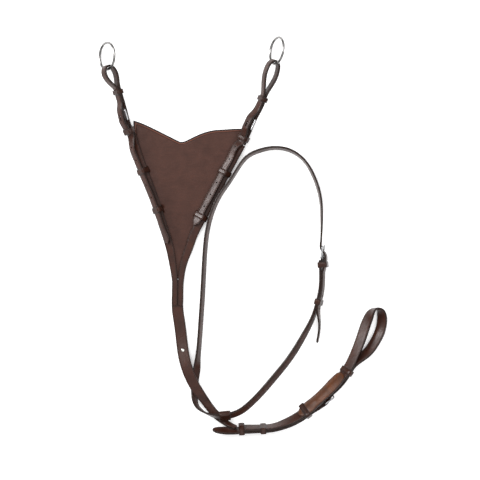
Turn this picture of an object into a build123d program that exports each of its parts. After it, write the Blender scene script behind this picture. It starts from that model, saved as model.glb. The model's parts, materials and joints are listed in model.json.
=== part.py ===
from build123d import *
import math
import os

# Bib martingale: a leather bib between two running forks that end in rein rings, a chest
# strap, a neck strap that runs through a loop at the chest, and a girth strap with its loop.
# It lies on a table: X to the right, Y towards the rein rings, Z up. Millimetres.
# Straps lie flat or lean on one edge. The origin is the middle of the underside.

# Leather
RING_STRAP_WIDTH = 15.0
RING_STRAP_THICK = 3.6
FORK_WIDTH = 16.0
FORK_END_WIDTH = 10.6
NECK_WIDTH = 16.0
NECK_THICK = 3.6
CHEST_WIDTH = 22.0
CHEST_THICK = 4.0
GUARD_WIDTH = 27.0
GUARD_THICK = 2.8
BIB_THICK = 2.4
CHAPE_THICK = 1.4
KEEPER_THICK = 1.8
KEEPER_LENGTH = 11.0
LOOP_LENGTH = 22.0
LAYER_GAP = 0.4
FIT_GAP = 0.3
HOLE_DIAMETER = 3.4
HOLE_PITCH = 25.4

# Metal
RING_OUTER_RADIUS = 28.0
RING_REST_GAP = 0.1
RING_WIRE = 5.0
BUCKLE_WIRE = 2.8
BUCKLE_LENGTH = 20.0
BUCKLE_SIDE_GAP = 1.0
BUCKLE_CORNER = 3.2
TONGUE_EYE_LENGTH = 2.4
TONGUE_EYE_GAP = 0.15
PIVOT_WIRE = 2.6
TONGUE_WIRE = 1.8
STUD_RADIUS = 3.4

# Levels inside a buckle, measured from the face of the strap that carries it
PIVOT_LEVEL = 3.3
OPEN_FAR_LEVEL = 6.8
OPEN_TONGUE_TIP = (22.4, 10.1)
FLAT_FAR_LEVEL = 3.3
FLAT_TONGUE_TIP = (9.0, 9.9)

# Middle of the whole object in the drawing's own coordinates
ORIGIN_X = -3.64
ORIGIN_Y = -0.09

# Height of a billet's underside over the strap below, by distance from the pivot bar.
# At an open buckle the billet comes under the far bar, at a flat one it lies over both bars.
OPEN_BILLET_LEVELS = (
    (30.0, 1.4),
    (23.0, 0.6),
    (17.5, 0.7),
    (10.5, 4.2),
    (4.0, 7.4),
    (-3.0, 7.6),
    (-10.0, 5.9),
    (-18.0, 4.1),
    (-26.0, 1.5),
    (-36.0, 0.5),
)
FLAT_BILLET_LEVELS = (
    (38.0, 1.2),
    (30.0, 3.2),
    (22.0, 6.4),
    (10.5, 7.4),
    (4.0, 7.8),
    (-3.0, 7.8),
    (-10.0, 5.9),
    (-18.0, 4.1),
    (-26.0, 1.5),
    (-36.0, 0.5),
)
CHAPE_TAIL = 13.6
CHAPE_LOW_LEVEL = 0.5
CHAPE_NARROWER = 1.0
CHAPE_SLOT_LENGTH = 15.0
CHAPE_SLOT_WIDTH = 3.6
# Long hole in a billet: distance of its middle from the pivot bar, length, level of its middle
OPEN_SLOT = (9.6, 13.0, 5.0)
FLAT_SLOT = (6.5, 11.0, 9.0)
SLOT_WIDTH = 3.4
SLOT_DEPTH = 9.0

UP = Vector(0, 0, 1)
PARTS = {}


def keep(name, shape):
    """Store a finished piece under its node name, with the origin moved to the middle."""
    PARTS[name] = shape.translate(Vector(-ORIGIN_X, -ORIGIN_Y, 0))


def spline_slopes(knots, values):
    """Second derivatives of the natural cubic spline through values at knots."""
    count = len(knots)
    second = [0.0] * count
    carry = [0.0] * count
    for i in range(1, count - 1):
        left = knots[i] - knots[i - 1]
        right = knots[i + 1] - knots[i]
        share = left / (left + right)
        pivot = share * second[i - 1] + 2.0
        bend = (values[i + 1] - values[i]) / right - (values[i] - values[i - 1]) / left
        second[i] = (share - 1.0) / pivot
        carry[i] = (6.0 * bend / (left + right) - share * carry[i - 1]) / pivot
    second[count - 1] = 0.0
    for i in range(count - 2, -1, -1):
        second[i] = second[i] * second[i + 1] + carry[i]
    return second


class Strap:
    """A strap of varying width along a smooth centre line, given by its stations.

    Each station is (point, across, width): across points from one edge to the other.
    """

    def __init__(self, stations, thickness):
        self.thickness = thickness
        rows = []
        for point, across, width in stations:
            rows.append((point.X, point.Y, point.Z, across.X, across.Y, across.Z, width))
        self.knots = [0.0]
        for i in range(1, len(rows)):
            self.knots.append(self.knots[-1] + math.dist(rows[i][:3], rows[i - 1][:3]))
        self.length = self.knots[-1]
        self.columns = list(zip(*rows))
        self.seconds = [spline_slopes(self.knots, column) for column in self.columns]

    def values(self, s):
        s = min(max(s, 0.0), self.length)
        i = 1
        while i < len(self.knots) - 1 and self.knots[i] < s:
            i += 1
        span = self.knots[i] - self.knots[i - 1]
        a = (self.knots[i] - s) / span
        b = 1.0 - a
        found = []
        for column, second in zip(self.columns, self.seconds):
            curve = (a**3 - a) * second[i - 1] + (b**3 - b) * second[i]
            found.append(a * column[i - 1] + b * column[i] + curve * span * span / 6.0)
        return found

    def frame(self, s):
        """Point, direction along, direction across, face normal and width at distance s.

        Past either end the strap's centre line goes on straight.
        """
        inside = min(max(s, 0.0), self.length)
        here = self.values(inside)
        before = Vector(*self.values(inside - 0.5)[:3])
        after = Vector(*self.values(inside + 0.5)[:3])
        along = (after - before).normalized()
        across = Vector(*here[3:6])
        across = (across - along * across.dot(along)).normalized()
        point = Vector(*here[:3]) + along * (s - inside)
        return point, along, across, along.cross(across), here[6]

    def corners(self, s):
        point, along, across, normal, width = self.frame(s)
        half = self.thickness / 2
        found = []
        for side, face in ((-1, -1), (1, -1), (1, 1), (-1, 1)):
            found.append(point + across * (side * width / 2) + normal * (face * half))
        return found

    def offset(self, s, normal_offset, across_offset=0.0):
        point, along, across, normal, width = self.frame(s)
        return point + normal * normal_offset + across * across_offset

    def plane(self, s, normal_offset=0.0):
        """Plane whose x runs along the strap, y across it and z out of its face."""
        point, along, across, normal, width = self.frame(s)
        return Plane(origin=point + normal * normal_offset, x_dir=along, z_dir=normal)

    def solid(self, step=12.0):
        count = max(2, round(self.length / step))
        wires = []
        for i in range(count + 1):
            corners = self.corners(self.length * i / count)
            wires.append(Wire.make_polygon(corners, close=True))
        return Solid.make_loft(wires, ruled=True)


def lying(route, width, thickness):
    """Stations for a strap that rests on the table along route: (x, y, lift, lean[, width]).

    lift raises the lower edge off the table and lean turns the strap about its length: at 0
    it is flat, and a positive lean raises the edge on the left of the direction of travel.
    """
    stations = []
    for i, row in enumerate(route):
        x, y, lift, lean = row[:4]
        here_width = row[4] if len(row) > 4 else width
        before = route[max(i - 1, 0)]
        after = route[min(i + 1, len(route) - 1)]
        along = Vector(after[0] - before[0], after[1] - before[1], 0).normalized()
        left = UP.cross(along)
        angle = math.radians(lean)
        across = left * math.cos(angle) + UP * math.sin(angle)
        height = lift + here_width / 2 * abs(math.sin(angle)) + thickness / 2 * abs(math.cos(angle))
        stations.append((Vector(x, y, height), across, here_width))
    return stations


def hull(points):
    """Convex outline of 2-D points, anticlockwise."""
    points = sorted(set(points))

    def half(ordered):
        chain = []
        for p in ordered:
            while len(chain) > 1:
                (ax, ay), (bx, by) = chain[-2], chain[-1]
                if (bx - ax) * (p[1] - ay) - (by - ay) * (p[0] - ax) > 1e-6:
                    break
                chain.pop()
            chain.append(p)
        return chain[:-1]

    return half(points) + half(points[::-1])


def keeper(plane, straps, length, slack=0.15, travel=0.0, thick=KEEPER_THICK):
    """Leather band round the straps where they cross plane, whose z runs along them.

    The hollow is the outline of every strap section within the band's length and travel.
    straps is a list of (strap, s) with s the distance at which the strap meets the plane.
    Returns the band and its outside as a solid block.
    """
    points = []
    reach = length / 2 + travel + 0.5
    for strap, s in straps:
        for k in range(-3, 4):
            for corner in strap.corners(s + reach * k / 3):
                local = plane.to_local_coords(corner)
                points.append((round(local.X, 4), round(local.Y, 4)))
    outline = Face(Wire.make_polygon([Vector(x, y, 0) for x, y in hull(points)], close=True))
    inner = offset(outline, slack, kind=Kind.ARC).face()
    outer = offset(outline, slack + thick, kind=Kind.ARC).face()
    block = Solid.extrude(outer, Vector(0, 0, length)).translate(Vector(0, 0, -length / 2))
    hollow = Solid.extrude(inner, Vector(0, 0, length + 2)).translate(Vector(0, 0, -length / 2 - 1))
    return plane.location * (block - hollow), plane.location * block


def cross_plane(strap, s):
    """Plane square to the strap: x across, z along."""
    point, along, across, normal, width = strap.frame(s)
    return Plane(origin=point, x_dir=across, z_dir=along)


def nearest(strap, point):
    """Distance along the strap of the place closest to point."""
    count = int(strap.length)
    best = min(range(count + 1), key=lambda i: (Vector(*strap.values(i)[:3]) - point).length)
    return float(best)


def rod(start, end, diameter):
    axis = end - start
    plane = Plane(origin=start, z_dir=axis.normalized())
    return plane.location * Solid.make_cylinder(diameter / 2, axis.length)


def buckle(name, plane, strap_width, far_level, tongue_tip):
    """Buckle frame, tongue and chape. plane: x towards the far bar, z out of the carrying strap.

    far_level is the height of the far bar and tongue_tip the place of the tongue's tip.
    """
    half = strap_width / 2 + BUCKLE_SIDE_GAP + BUCKLE_WIRE / 2
    rise = (far_level - PIVOT_LEVEL) / BUCKLE_LENGTH
    tilt = Plane(origin=(0, 0, PIVOT_LEVEL), x_dir=(1, 0, rise), z_dir=(-rise, 0, 1))
    reach = math.hypot(BUCKLE_LENGTH, far_level - PIVOT_LEVEL)
    path = FilletPolyline(
        (0, half),
        (reach, half),
        (reach, -half),
        (0, -half),
        radius=BUCKLE_CORNER,
    )
    wire_plane = Plane(origin=(0, half, 0), x_dir=(0, 1, 0), z_dir=(1, 0, 0))
    wire = sweep(wire_plane * Circle(BUCKLE_WIRE / 2), path=path).solid()
    ends = Solid.make_sphere(BUCKLE_WIRE / 2, angle1=-90, angle2=90)
    bar = rod(Vector(0, -half, 0), Vector(0, half, 0), PIVOT_WIRE)
    frame = wire + Pos(0, half, 0) * ends + Pos(0, -half, 0) * ends + bar
    keep(f"{name}_buckle_frame", plane.location * (tilt.location * frame).solid())

    eye_outer = PIVOT_WIRE / 2 + FIT_GAP + TONGUE_WIRE * 0.75
    eye_hole = Solid.make_cylinder(PIVOT_WIRE / 2 + TONGUE_EYE_GAP, TONGUE_EYE_LENGTH)
    eye = Solid.make_cylinder(eye_outer, TONGUE_EYE_LENGTH) - eye_hole
    eye = Plane(origin=(0, TONGUE_EYE_LENGTH / 2, PIVOT_LEVEL), x_dir=(1, 0, 0), z_dir=(0, -1, 0)).location * eye
    tip = Vector(tongue_tip[0], 0, tongue_tip[1])
    lean = (tip - Vector(0, 0, PIVOT_LEVEL)).normalized()
    root = Vector(0, 0, PIVOT_LEVEL) + lean * (PIVOT_WIRE / 2 + FIT_GAP + 0.35)
    blade = rod(root, tip, TONGUE_WIRE) + Pos(*tip) * Solid.make_sphere(TONGUE_WIRE / 2, angle1=-90, angle2=90)
    keep(f"{name}_buckle_tongue", plane.location * (eye + blade).solid())

    inner = PIVOT_WIRE / 2 + FIT_GAP
    outer = inner + CHAPE_THICK
    low = CHAPE_LOW_LEVEL
    chape_width = strap_width - CHAPE_NARROWER
    profile_outer = make_hull(
        Circle(outer).edges()
        + Edge.make_line((0, low - PIVOT_LEVEL), (-CHAPE_TAIL, low - PIVOT_LEVEL))
        + Edge.make_line((-CHAPE_TAIL, low - PIVOT_LEVEL), (-CHAPE_TAIL, low - PIVOT_LEVEL + 2 * CHAPE_THICK))
    )
    body = Solid.extrude(profile_outer.face(), Vector(0, 0, chape_width))
    wedge = make_hull(Circle(inner).edges() + Edge.make_line((-9, -0.9), (-9, -0.8)))
    body = body - Solid.extrude(wedge.face(), Vector(0, 0, chape_width))
    side = Plane(origin=(0, chape_width / 2, PIVOT_LEVEL), x_dir=(1, 0, 0), z_dir=(0, -1, 0))
    slot = Pos(2.5, 0, PIVOT_LEVEL + 2) * Box(CHAPE_SLOT_LENGTH, CHAPE_SLOT_WIDTH, 12)
    keep(f"{name}_chape", plane.location * ((side.location * body) - slot).solid())


def billet_over_buckle(carrier, s_bar, direction, face, thickness, width, levels):
    """Stations of a billet that passes over the pivot bar of a buckle.

    direction is +1 where the far bar lies at larger s, and face is the side it is worn on.
    Listed from the far bar's side to the tail's side.
    """
    half = carrier.thickness / 2 + thickness / 2
    stations = []
    for distance, level in levels:
        s = s_bar + direction * distance
        across = carrier.frame(s)[2]
        stations.append((carrier.offset(s, face * (half + level)), across, width))
    return stations


def cut_slot(strap_solid, plane, place):
    """Long hole where a buckle's tongue comes through a billet."""
    middle, length, level = place
    slot = Pos(middle, 0, level) * Box(length, SLOT_WIDTH, SLOT_DEPTH)
    return strap_solid - plane.location * slot


def punch(strap_solid, strap, places):
    """Round holes through the strap's faces at the given distances."""
    for s in places:
        drill = Solid.make_cylinder(HOLE_DIAMETER / 2, 12).translate(Vector(0, 0, -6))
        strap_solid = strap_solid - strap.plane(s).location * drill
    return strap_solid


# Routes: x, y, lift of the lower edge, lean, and the width where it changes.
LEFT_FORK = (
    (-130.0, -132.0, 4.4, 0, FORK_END_WIDTH),
    (-129.6, -112.0, 4.4, 0, FORK_END_WIDTH),
    (-129.4, -92.0, 4.4, 0, FORK_END_WIDTH),
    (-131.0, -72.0, 3.6, 0, 11.5),
    (-134.4, -48.0, 2.6, 0, 13.5),
    (-140.3, -17.0, 2.6, 0, 15.5),
    (-152.6, 22.0, 2.6, 0, 16.0),
    (-166.5, 66.0, 2.6, 0, 16.0),
    (-182.8, 110.0, 2.6, 0, 16.0),
    (-197.6, 150.0, 2.6, -3, 16.0),
    (-205.5, 175.0, 2.9, -14, 16.0),
)
LEFT_RING_LINE = (
    (-205.9, 176.4, 2.9, -15),
    (-209.2, 190.0, 3.1, -24),
    (-214.5, 203.0, 3.6, -42),
    (-221.4, 223.0, 4.8, -50),
    (-227.0, 245.0, 6.0, -50),
    (-232.2, 264.0, 7.4, -52),
    (-236.5, 279.5, 8.6, -54),
)
RIGHT_FORK = (
    (-119.0, -132.0, 4.4, 0, FORK_END_WIDTH),
    (-118.6, -112.0, 4.4, 0, FORK_END_WIDTH),
    (-118.2, -92.0, 4.4, 0, FORK_END_WIDTH),
    (-116.4, -72.0, 3.6, 0, 11.5),
    (-111.8, -48.0, 2.6, 0, 13.5),
    (-103.4, -24.0, 2.6, 0, 15.5),
    (-93.4, 4.0, 2.6, 0, 16.0),
    (-76.0, 37.6, 2.6, 0, 16.0),
    (-46.9, 92.2, 2.6, 0, 16.0),
    (-18.0, 146.7, 2.6, -3, 16.0),
    (-2.5, 175.0, 2.9, -14, 16.0),
)
RIGHT_RING_LINE = (
    (-1.8, 176.4, 2.9, -17),
    (4.8, 189.4, 3.2, -35),
    (10.6, 202.0, 3.6, -40),
    (19.3, 221.6, 4.6, -43),
    (29.7, 240.8, 6.0, -46),
    (36.0, 253.6, 7.5, -50),
    (40.8, 265.0, 8.4, -61),
)
CHEST = (
    (-124.0, -82.0, 0.2, 0),
    (-124.6, -112.0, 0.2, 0),
    (-124.4, -138.0, 0.2, 0),
    (-120.7, -164.4, 0.3, 4),
    (-116.1, -201.4, 2.6, 7),
    (-111.0, -232.8, 8.2, 6),
    (-102.8, -259.9, 12.2, 3, 21.0),
    (-93.5, -280.0, 12.9, 1, 20.0),
    (-84.9, -293.8, 12.9, 0, 19.0),
    (-77.3, -304.8, 9.6, 0, 17.6),
    (-70.2, -315.2, 4.0, 0, 16.4),
    (-63.4, -324.8, 0.8, 0, 16.0),
    (-52.4, -337.7, 0.3, 0, 15.6),
    (-41.2, -347.7, 0.4, -6, 14.0),
    (-31.2, -354.8, 1.6, -26, 12.0),
    (-21.8, -359.4, 5.4, -52, 12.0),
    (-12.4, -363.2, 8.5, -60, 12.0),
)
NECK_GUIDE = (
    (142.8, 24.0, 4.6, -94),
    (142.8, 0.0, 4.6, -88),
    (144.4, -24.0, 4.6, -81),
    (147.0, -48.0, 4.6, -77),
    (148.4, -73.2, 4.6, -71),
    (146.8, -101.9, 4.0, -70),
    (141.3, -126.9, 4.0, -68),
    (135.1, -148.1, 3.0, -66),
    (118.2, -183.6, 1.0, -54),
    (84.6, -237.3, 0.2, -48),
    (61.6, -265.7, 0.2, -47),
    (39.5, -291.7, 0.4, -47),
    (13.6, -318.2, 3.0, -47),
    (-9.2, -334.4, 6.4, -47),
    (-22.9, -339.2, 7.0, -48),
    (-36.0, -341.6, 7.2, -54),
    (-49.0, -341.2, 7.2, -62),
    (-62.0, -338.4, 6.8, -76),
    (-76.0, -332.0, 5.9, -92),
    (-87.0, -322.4, 2.6, -108),
    (-91.4, -309.6, 0.8, -126),
    (-91.4, -295.5, 0.2, -150),
    (-92.0, -276.5, 0.2, -158),
    (-88.6, -255.0, 0.2, -150),
    (-86.4, -236.0, 0.2, -126),
    (-84.2, -215.7, 0.2, -116),
    (-81.2, -177.6, 0.2, -115),
    (-77.4, -120.7, 0.2, -115),
    (-74.8, -73.2, 0.2, -114),
    (-72.0, -25.6, 0.2, -113),
    (-67.2, 13.2, 0.2, -113),
    (-58.2, 46.8, 0.2, -112),
    (-43.9, 77.6, 0.2, -110),
    (-23.9, 106.4, 0.2, -106),
    (-9.0, 130.3, 0.2, -106),
    (8.4, 151.6, 0.2, -108),
    (31.2, 162.9, 0.2, -109),
    (60.8, 168.4, 0.2, -106),
    (86.9, 164.4, 0.2, -105),
    (111.9, 149.0, 0.2, -101),
    (135.1, 113.0, 0.2, -103),
    (147.5, 70.1, 1.4, -100),
    (149.4, 34.0, 3.6, -96),
)
NECK_TAIL = (
    (145.2, -165.0, 3.0, -80),
    (140.8, -202.0, 2.0, -76),
)
GIRTH_MAIN = (
    (-8.6, -364.6, 4.9, -62),
    (13.3, -363.4, 4.9, -66),
    (38.0, -362.9, 4.6, -68),
    (60.8, -360.1, 4.6, -66),
    (79.8, -353.8, 5.4, -58),
    (98.8, -344.9, 7.6, -50),
    (116.0, -333.8, 9.6, -45),
    (136.8, -316.4, 11.0, -43),
    (159.6, -295.5, 11.0, -43),
    (180.5, -273.6, 9.6, -44),
    (193.8, -257.6, 7.4, -45),
    (204.6, -240.4, 5.6, -44),
)
GIRTH_LOOP = (
    (214.0, -220.0, 4.2, -42),
    (223.6, -196.0, 2.8, -38),
    (232.0, -171.0, 1.8, -37),
    (238.8, -153.6, 1.2, -46),
    (245.4, -142.4, 0.8, -66),
    (253.6, -137.0, 0.6, -92),
    (260.6, -141.0, 0.6, -118),
    (264.2, -151.0, 0.8, -136),
    (263.6, -166.0, 1.2, -144),
    (259.6, -182.0, 1.8, -145),
    (250.6, -200.0, 2.6, -142),
    (236.0, -220.0, 3.2, -137),
)


def turned(strap, s, degrees):
    """Across direction of the strap at s, turned about its length."""
    point, along, across, normal, width = strap.frame(s)
    angle = math.radians(degrees)
    return across * math.cos(angle) + normal * math.sin(angle)


def ring_frame(line, neck, centre):
    """Axes of a ring strap's loop: neck point, direction to the ring, across and face normal."""
    across = line.frame(line.length)[2]
    along = (centre - neck).normalized()
    across = (across - along * across.dot(along)).normalized()
    return along, across, along.cross(across)


def turned_pull(centre, line, neck, degrees):
    """Direction from the pivot to the ring's centre: the strap's pull turned about across."""
    along, across, normal = ring_frame(line, neck, centre)
    angle = math.radians(degrees)
    return along * math.cos(angle) - normal * math.sin(angle)


def pivot_of(centre, line, neck, tube, degrees):
    return centre - turned_pull(centre, line, neck, degrees) * tube


# Outline of a ring strap's loop from its neck: share of its reach, distance sideways.
LOOP_OUTLINE = (
    (0.0, 2.3),
    (0.25, 6.2),
    (0.54, 11.6),
    (0.78, 11.6),
    (0.94, 7.4),
    (1.0, 0.0),
)
PIVOT_BACK = 6.7
NECK_RISE = 2.3
RING_KEEPER_LENGTH = 9.0
RING_KEEPER_BACK = 5.0
BILLET_STEP = 24.0
BILLET_TIP_LENGTH = 6.0
BILLET_TIP_SHARE = 0.55
# Billet over its fork strap: lean, then offset to the left and up at its tip and at its top
LEFT_BILLET = (-50.0, (0.6, 9.4), (6.6, 8.0))
RIGHT_BILLET = (-33.0, (6.7, 5.3), (6.7, 5.3))


def fork_side(name, routes, ring_xy, ring_turn, bar_xy, line_keeper, keeper_spots, billet, tip_y, holes):
    """One fork: fork strap, ring strap with its loop and billet, ring, keepers and buckle."""
    fork_route, line_route = routes
    fork = Strap(lying(fork_route, FORK_WIDTH, RING_STRAP_THICK), RING_STRAP_THICK)
    line_stations = lying(line_route, RING_STRAP_WIDTH, RING_STRAP_THICK)
    line = Strap(line_stations, RING_STRAP_THICK)
    top = line.frame(line.length)
    tube = RING_OUTER_RADIUS - RING_WIRE / 2
    neck = top[0] + top[3] * NECK_RISE
    ring_z = tube
    for settle in range(4):
        centre = Vector(ring_xy[0], ring_xy[1], ring_z)
        pull, across, normal = ring_frame(line, neck, pivot_of(centre, line, neck, tube, ring_turn))
        ring_along = turned_pull(centre, line, neck, ring_turn)
        ring_normal = ring_along.cross(across).normalized()
        ring_z = tube * math.sqrt(1 - ring_normal.Z * ring_normal.Z) + RING_WIRE / 2 + RING_REST_GAP
    pivot = centre - ring_along * tube
    along = pull
    loop_reach = (pivot - neck).length + PIVOT_BACK

    ring_plane = Plane(origin=centre, x_dir=ring_along, z_dir=ring_normal)
    ring = ring_plane.location * Solid.make_torus(tube, RING_WIRE / 2)
    keep(f"{name}_rein_ring", ring)

    width = RING_STRAP_WIDTH
    stations = list(line_stations[:-1])
    for reach, side in LOOP_OUTLINE:
        stations.append((neck + along * (reach * loop_reach) - normal * side, across, width))
    for reach, side in reversed(LOOP_OUTLINE[:-1]):
        stations.append((neck + along * (reach * loop_reach) + normal * side, across, width))
    s_bar = nearest(line, Vector(bar_xy[0], bar_xy[1], 8))
    upper = line.length - 12.0
    stations.append((line.offset(upper, RING_STRAP_THICK + 1.0), line.frame(upper)[2], width))
    over = billet_over_buckle(line, s_bar, 1, 1, RING_STRAP_THICK, width, FLAT_BILLET_LEVELS)
    stations += over[:-1]
    s_keepers = [nearest(fork, Vector(x, y, 5)) for x, y in keeper_spots]
    s_tip = min(range(int(fork.length)), key=lambda s: abs(fork.values(s)[1] - tip_y))

    def billet_station(s, tip_width):
        across_here = turned(fork, s, billet[0] - fork_lean(fork, s))
        return billet_point(fork, s, s_tip, billet), across_here, tip_width

    s = fork.length - 4.0
    while s > s_tip + 14:
        stations.append(billet_station(s, width))
        s -= BILLET_STEP
    stations.append(billet_station(s_tip + BILLET_TIP_LENGTH, width))
    stations.append(billet_station(s_tip, width * BILLET_TIP_SHARE))
    strap = Strap(stations, RING_STRAP_THICK)

    plane = line.plane(s_bar, RING_STRAP_THICK / 2)
    buckle(f"{name}_fork", plane, width, FLAT_FAR_LEVEL, FLAT_TONGUE_TIP)
    solid = cut_slot(strap.solid(9.0), plane, FLAT_SLOT)
    s_first = nearest(strap, billet_point(fork, fork.length, s_tip, billet)) + holes[0]
    solid = punch(solid, strap, [s_first + HOLE_PITCH * i for i in range(holes[1])])
    keep(f"{name}_ring_strap", solid)
    keep(f"{name}_fork_strap", fork.solid(12.0))

    blocks = []
    s_line = nearest(line, Vector(line_keeper[0], line_keeper[1], 8))
    s_over = nearest_after(strap, line.offset(s_line, RING_STRAP_THICK + 4.0), strap.length * 0.3)
    band, block = keeper(cross_plane(line, s_line), [(line, s_line), (strap, s_over)], KEEPER_LENGTH)
    keep(f"{name}_bib_keeper_1", band)
    blocks.append(block)
    for i, s in enumerate(s_keepers):
        s_billet = nearest(strap, billet_point(fork, s, s_tip, billet))
        band, block = keeper(cross_plane(fork, s), [(fork, s), (strap, s_billet)], KEEPER_LENGTH)
        keep(f"{name}_bib_keeper_{i + 2}", band)
        blocks.append(block)
    s_low = line.length - RING_KEEPER_BACK
    s_high = nearest_after(strap, line.offset(s_low, 4.6), strap.length * 0.3)
    band, block = keeper(
        cross_plane(line, s_low),
        [(line, s_low), (strap, s_high)],
        RING_KEEPER_LENGTH,
        slack=0.45,
        travel=3.0,
    )
    keep(f"{name}_ring_keeper", band)
    return fork, strap, line, pivot, across, centre, plane, blocks


def nearest_after(strap, point, start):
    """Like nearest, but only past the distance start."""
    places = range(int(start), int(strap.length) + 1)
    return float(min(places, key=lambda i: (Vector(*strap.values(i)[:3]) - point).length))


def billet_point(fork, s, s_tip, billet):
    """Centre of a billet above its fork strap at s."""
    share = (s - s_tip) / (fork.length - s_tip)
    side = billet[1][0] + (billet[2][0] - billet[1][0]) * share
    rise = billet[1][1] + (billet[2][1] - billet[1][1]) * share
    return fork.frame(s)[0] + UP * rise + fork_left(fork, s) * side


def fork_left(fork, s):
    """Level direction to the left of the fork strap's travel."""
    return UP.cross(fork.frame(s)[1]).normalized()


def fork_lean(fork, s):
    """Lean of the fork strap at s, in degrees."""
    return math.degrees(math.asin(fork.frame(s)[2].Z))


left = fork_side(
    "left",
    (LEFT_FORK, LEFT_RING_LINE),
    (-257.6, 341.8),
    17.0,
    (-221.0, 222.0),
    (-214.2, 202.0),
    ((-188.6, 125.4), (-161.8, 51.0)),
    LEFT_BILLET,
    -13.5,
    (4.0, 5),
)
right = fork_side(
    "right",
    (RIGHT_FORK, RIGHT_RING_LINE),
    (64.0, 352.0),
    -4.0,
    (11.8, 205.0),
    (4.0, 186.0),
    ((-32.0, 120.0), (-77.0, 36.0)),
    RIGHT_BILLET,
    18.0,
    (10.0, 6),
)

# Bib: one flat panel whose long sides lie under the fork straps.
BIB_EDGE = 3.0
BIB_SIDE_START = 52.0
BIB_SIDE_POINTS = 9
BIB_LEFT_CORNER = (-208.6, 221.0)
BIB_RIGHT_CORNER = (17.5, 201.6)
BIB_TOP = (
    (-196.1, 216.8),
    (-167.8, 204.3),
    (-133.2, 187.0),
    (-119.0, 180.0),
)
BIB_TOP_RIGHT = (
    (-110.5, 181.2),
    (-86.0, 193.2),
    (-60.0, 201.6),
    (-30.0, 204.2),
    (0.0, 204.8),
)


def bib_side(fork, outward, first, last):
    """Points just outside the middle of a fork strap, from the bottom up."""
    found = []
    for i in range(BIB_SIDE_POINTS + 1):
        s = first + (last - first) * i / BIB_SIDE_POINTS
        point = fork.frame(s)[0] + fork_left(fork, s) * outward
        found.append((point.X, point.Y))
    return found


left_side = bib_side(left[0], BIB_EDGE, BIB_SIDE_START, left[0].length - 2)
right_side = bib_side(right[0], -BIB_EDGE, BIB_SIDE_START, right[0].length - 2)
edges = [
    Spline(*left_side),
    Line(left_side[-1], BIB_LEFT_CORNER),
    Spline(BIB_LEFT_CORNER, *BIB_TOP),
    Line(BIB_TOP[-1], BIB_TOP_RIGHT[0]),
    Spline(*BIB_TOP_RIGHT, BIB_RIGHT_CORNER),
    Line(BIB_RIGHT_CORNER, right_side[-1]),
    Spline(*reversed(right_side)),
    Line(right_side[0], left_side[0]),
]
bib = extrude(make_face(edges), BIB_THICK).solid()
for block in left[-1] + right[-1]:
    bib = bib - block
solids = sorted(bib.solids(), key=lambda piece: piece.volume)
keep("bib_panel", solids[-1])

# Chest strap, its stud and the loop that the neck strap runs through
STUD_SPOT = Vector(-113.6, -216.0, 6)
NECK_LOOP_SPOT = Vector(-35.0, -341.6, 14)
NECK_LOOP_SLACK = 0.4
NECK_TRAVEL = 4.0
NECK_LOOP_THICK = 1.9
chest = Strap(lying(CHEST, CHEST_WIDTH, CHEST_THICK), CHEST_THICK)
keep("chest_strap", chest.solid(10.0))
stud_s = nearest(chest, STUD_SPOT)
stud_plane = chest.plane(stud_s, CHEST_THICK / 2)
dome = Solid.make_sphere(STUD_RADIUS * 1.25, angle1=-90, angle2=90)
dome = dome.translate(Vector(0, 0, -STUD_RADIUS * 0.75 + 0.1))
cap = dome & Pos(0, 0, 5) * Box(20, 20, 10 - 0.2)
keep("chest_stud", stud_plane.location * cap.solid())

guide = Strap(lying(NECK_GUIDE, NECK_WIDTH, NECK_THICK), NECK_THICK)
loop_s = nearest(guide, NECK_LOOP_SPOT)
band, block = keeper(
    cross_plane(guide, loop_s),
    [(guide, loop_s)],
    LOOP_LENGTH,
    slack=NECK_LOOP_SLACK,
    travel=NECK_TRAVEL,
    thick=NECK_LOOP_THICK,
)
keep("neck_loop", band)

# Neck strap: chape end at the right, down, round through the loop and back to the buckle
NECK_BUCKLE_SPOT = Vector(146.2, -40.0, 12)
NECK_BILLET_GAP = 0.5
NECK_BILLET_PLACES = (52.0, 76.0, 94.0)
NECK_KEEPERS = (("upper", 14.0, 0.0), ("lower", 85.0, 2.0))
NECK_KEEPER_SLACK = 0.4
NECK_HOLES_BACK = 40.0
NECK_HOLES = 3
neck_bar = nearest(guide, NECK_BUCKLE_SPOT)
neck_stations = []
start_s = neck_bar + 5.0
cut_off = next(i for i, knot in enumerate(guide.knots) if knot > start_s + 4)
neck_stations.append((guide.frame(start_s)[0], guide.frame(start_s)[2], NECK_WIDTH))
neck_stations += lying(NECK_GUIDE, NECK_WIDTH, NECK_THICK)[cut_off:]
over = billet_over_buckle(guide, neck_bar, -1, 1, NECK_THICK, NECK_WIDTH, OPEN_BILLET_LEVELS)
neck_stations += over
for place in NECK_BILLET_PLACES:
    s = neck_bar + place
    neck_stations.append((guide.offset(s, NECK_THICK + NECK_BILLET_GAP), guide.frame(s)[2], NECK_WIDTH))
neck_stations += lying(NECK_TAIL, NECK_WIDTH, NECK_THICK)[:1]
tip_point, tip_across, tip_width = lying(NECK_TAIL, NECK_WIDTH, NECK_THICK)[1]
neck_stations.append((tip_point, tip_across, NECK_WIDTH * 0.6))
neck = Strap(neck_stations, NECK_THICK)
neck_plane = Plane(
    origin=guide.offset(neck_bar, NECK_THICK / 2),
    x_dir=guide.frame(neck_bar)[1] * -1,
    z_dir=guide.frame(neck_bar)[3],
)
buckle("neck", neck_plane, NECK_WIDTH, OPEN_FAR_LEVEL, OPEN_TONGUE_TIP)
neck_solid = cut_slot(neck.solid(10.0), neck_plane, OPEN_SLOT)
neck_holes = [neck.length - NECK_HOLES_BACK - HOLE_PITCH * i for i in range(NECK_HOLES)]
neck_solid = punch(neck_solid, neck, neck_holes)
keep("neck_strap", neck_solid)
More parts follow.
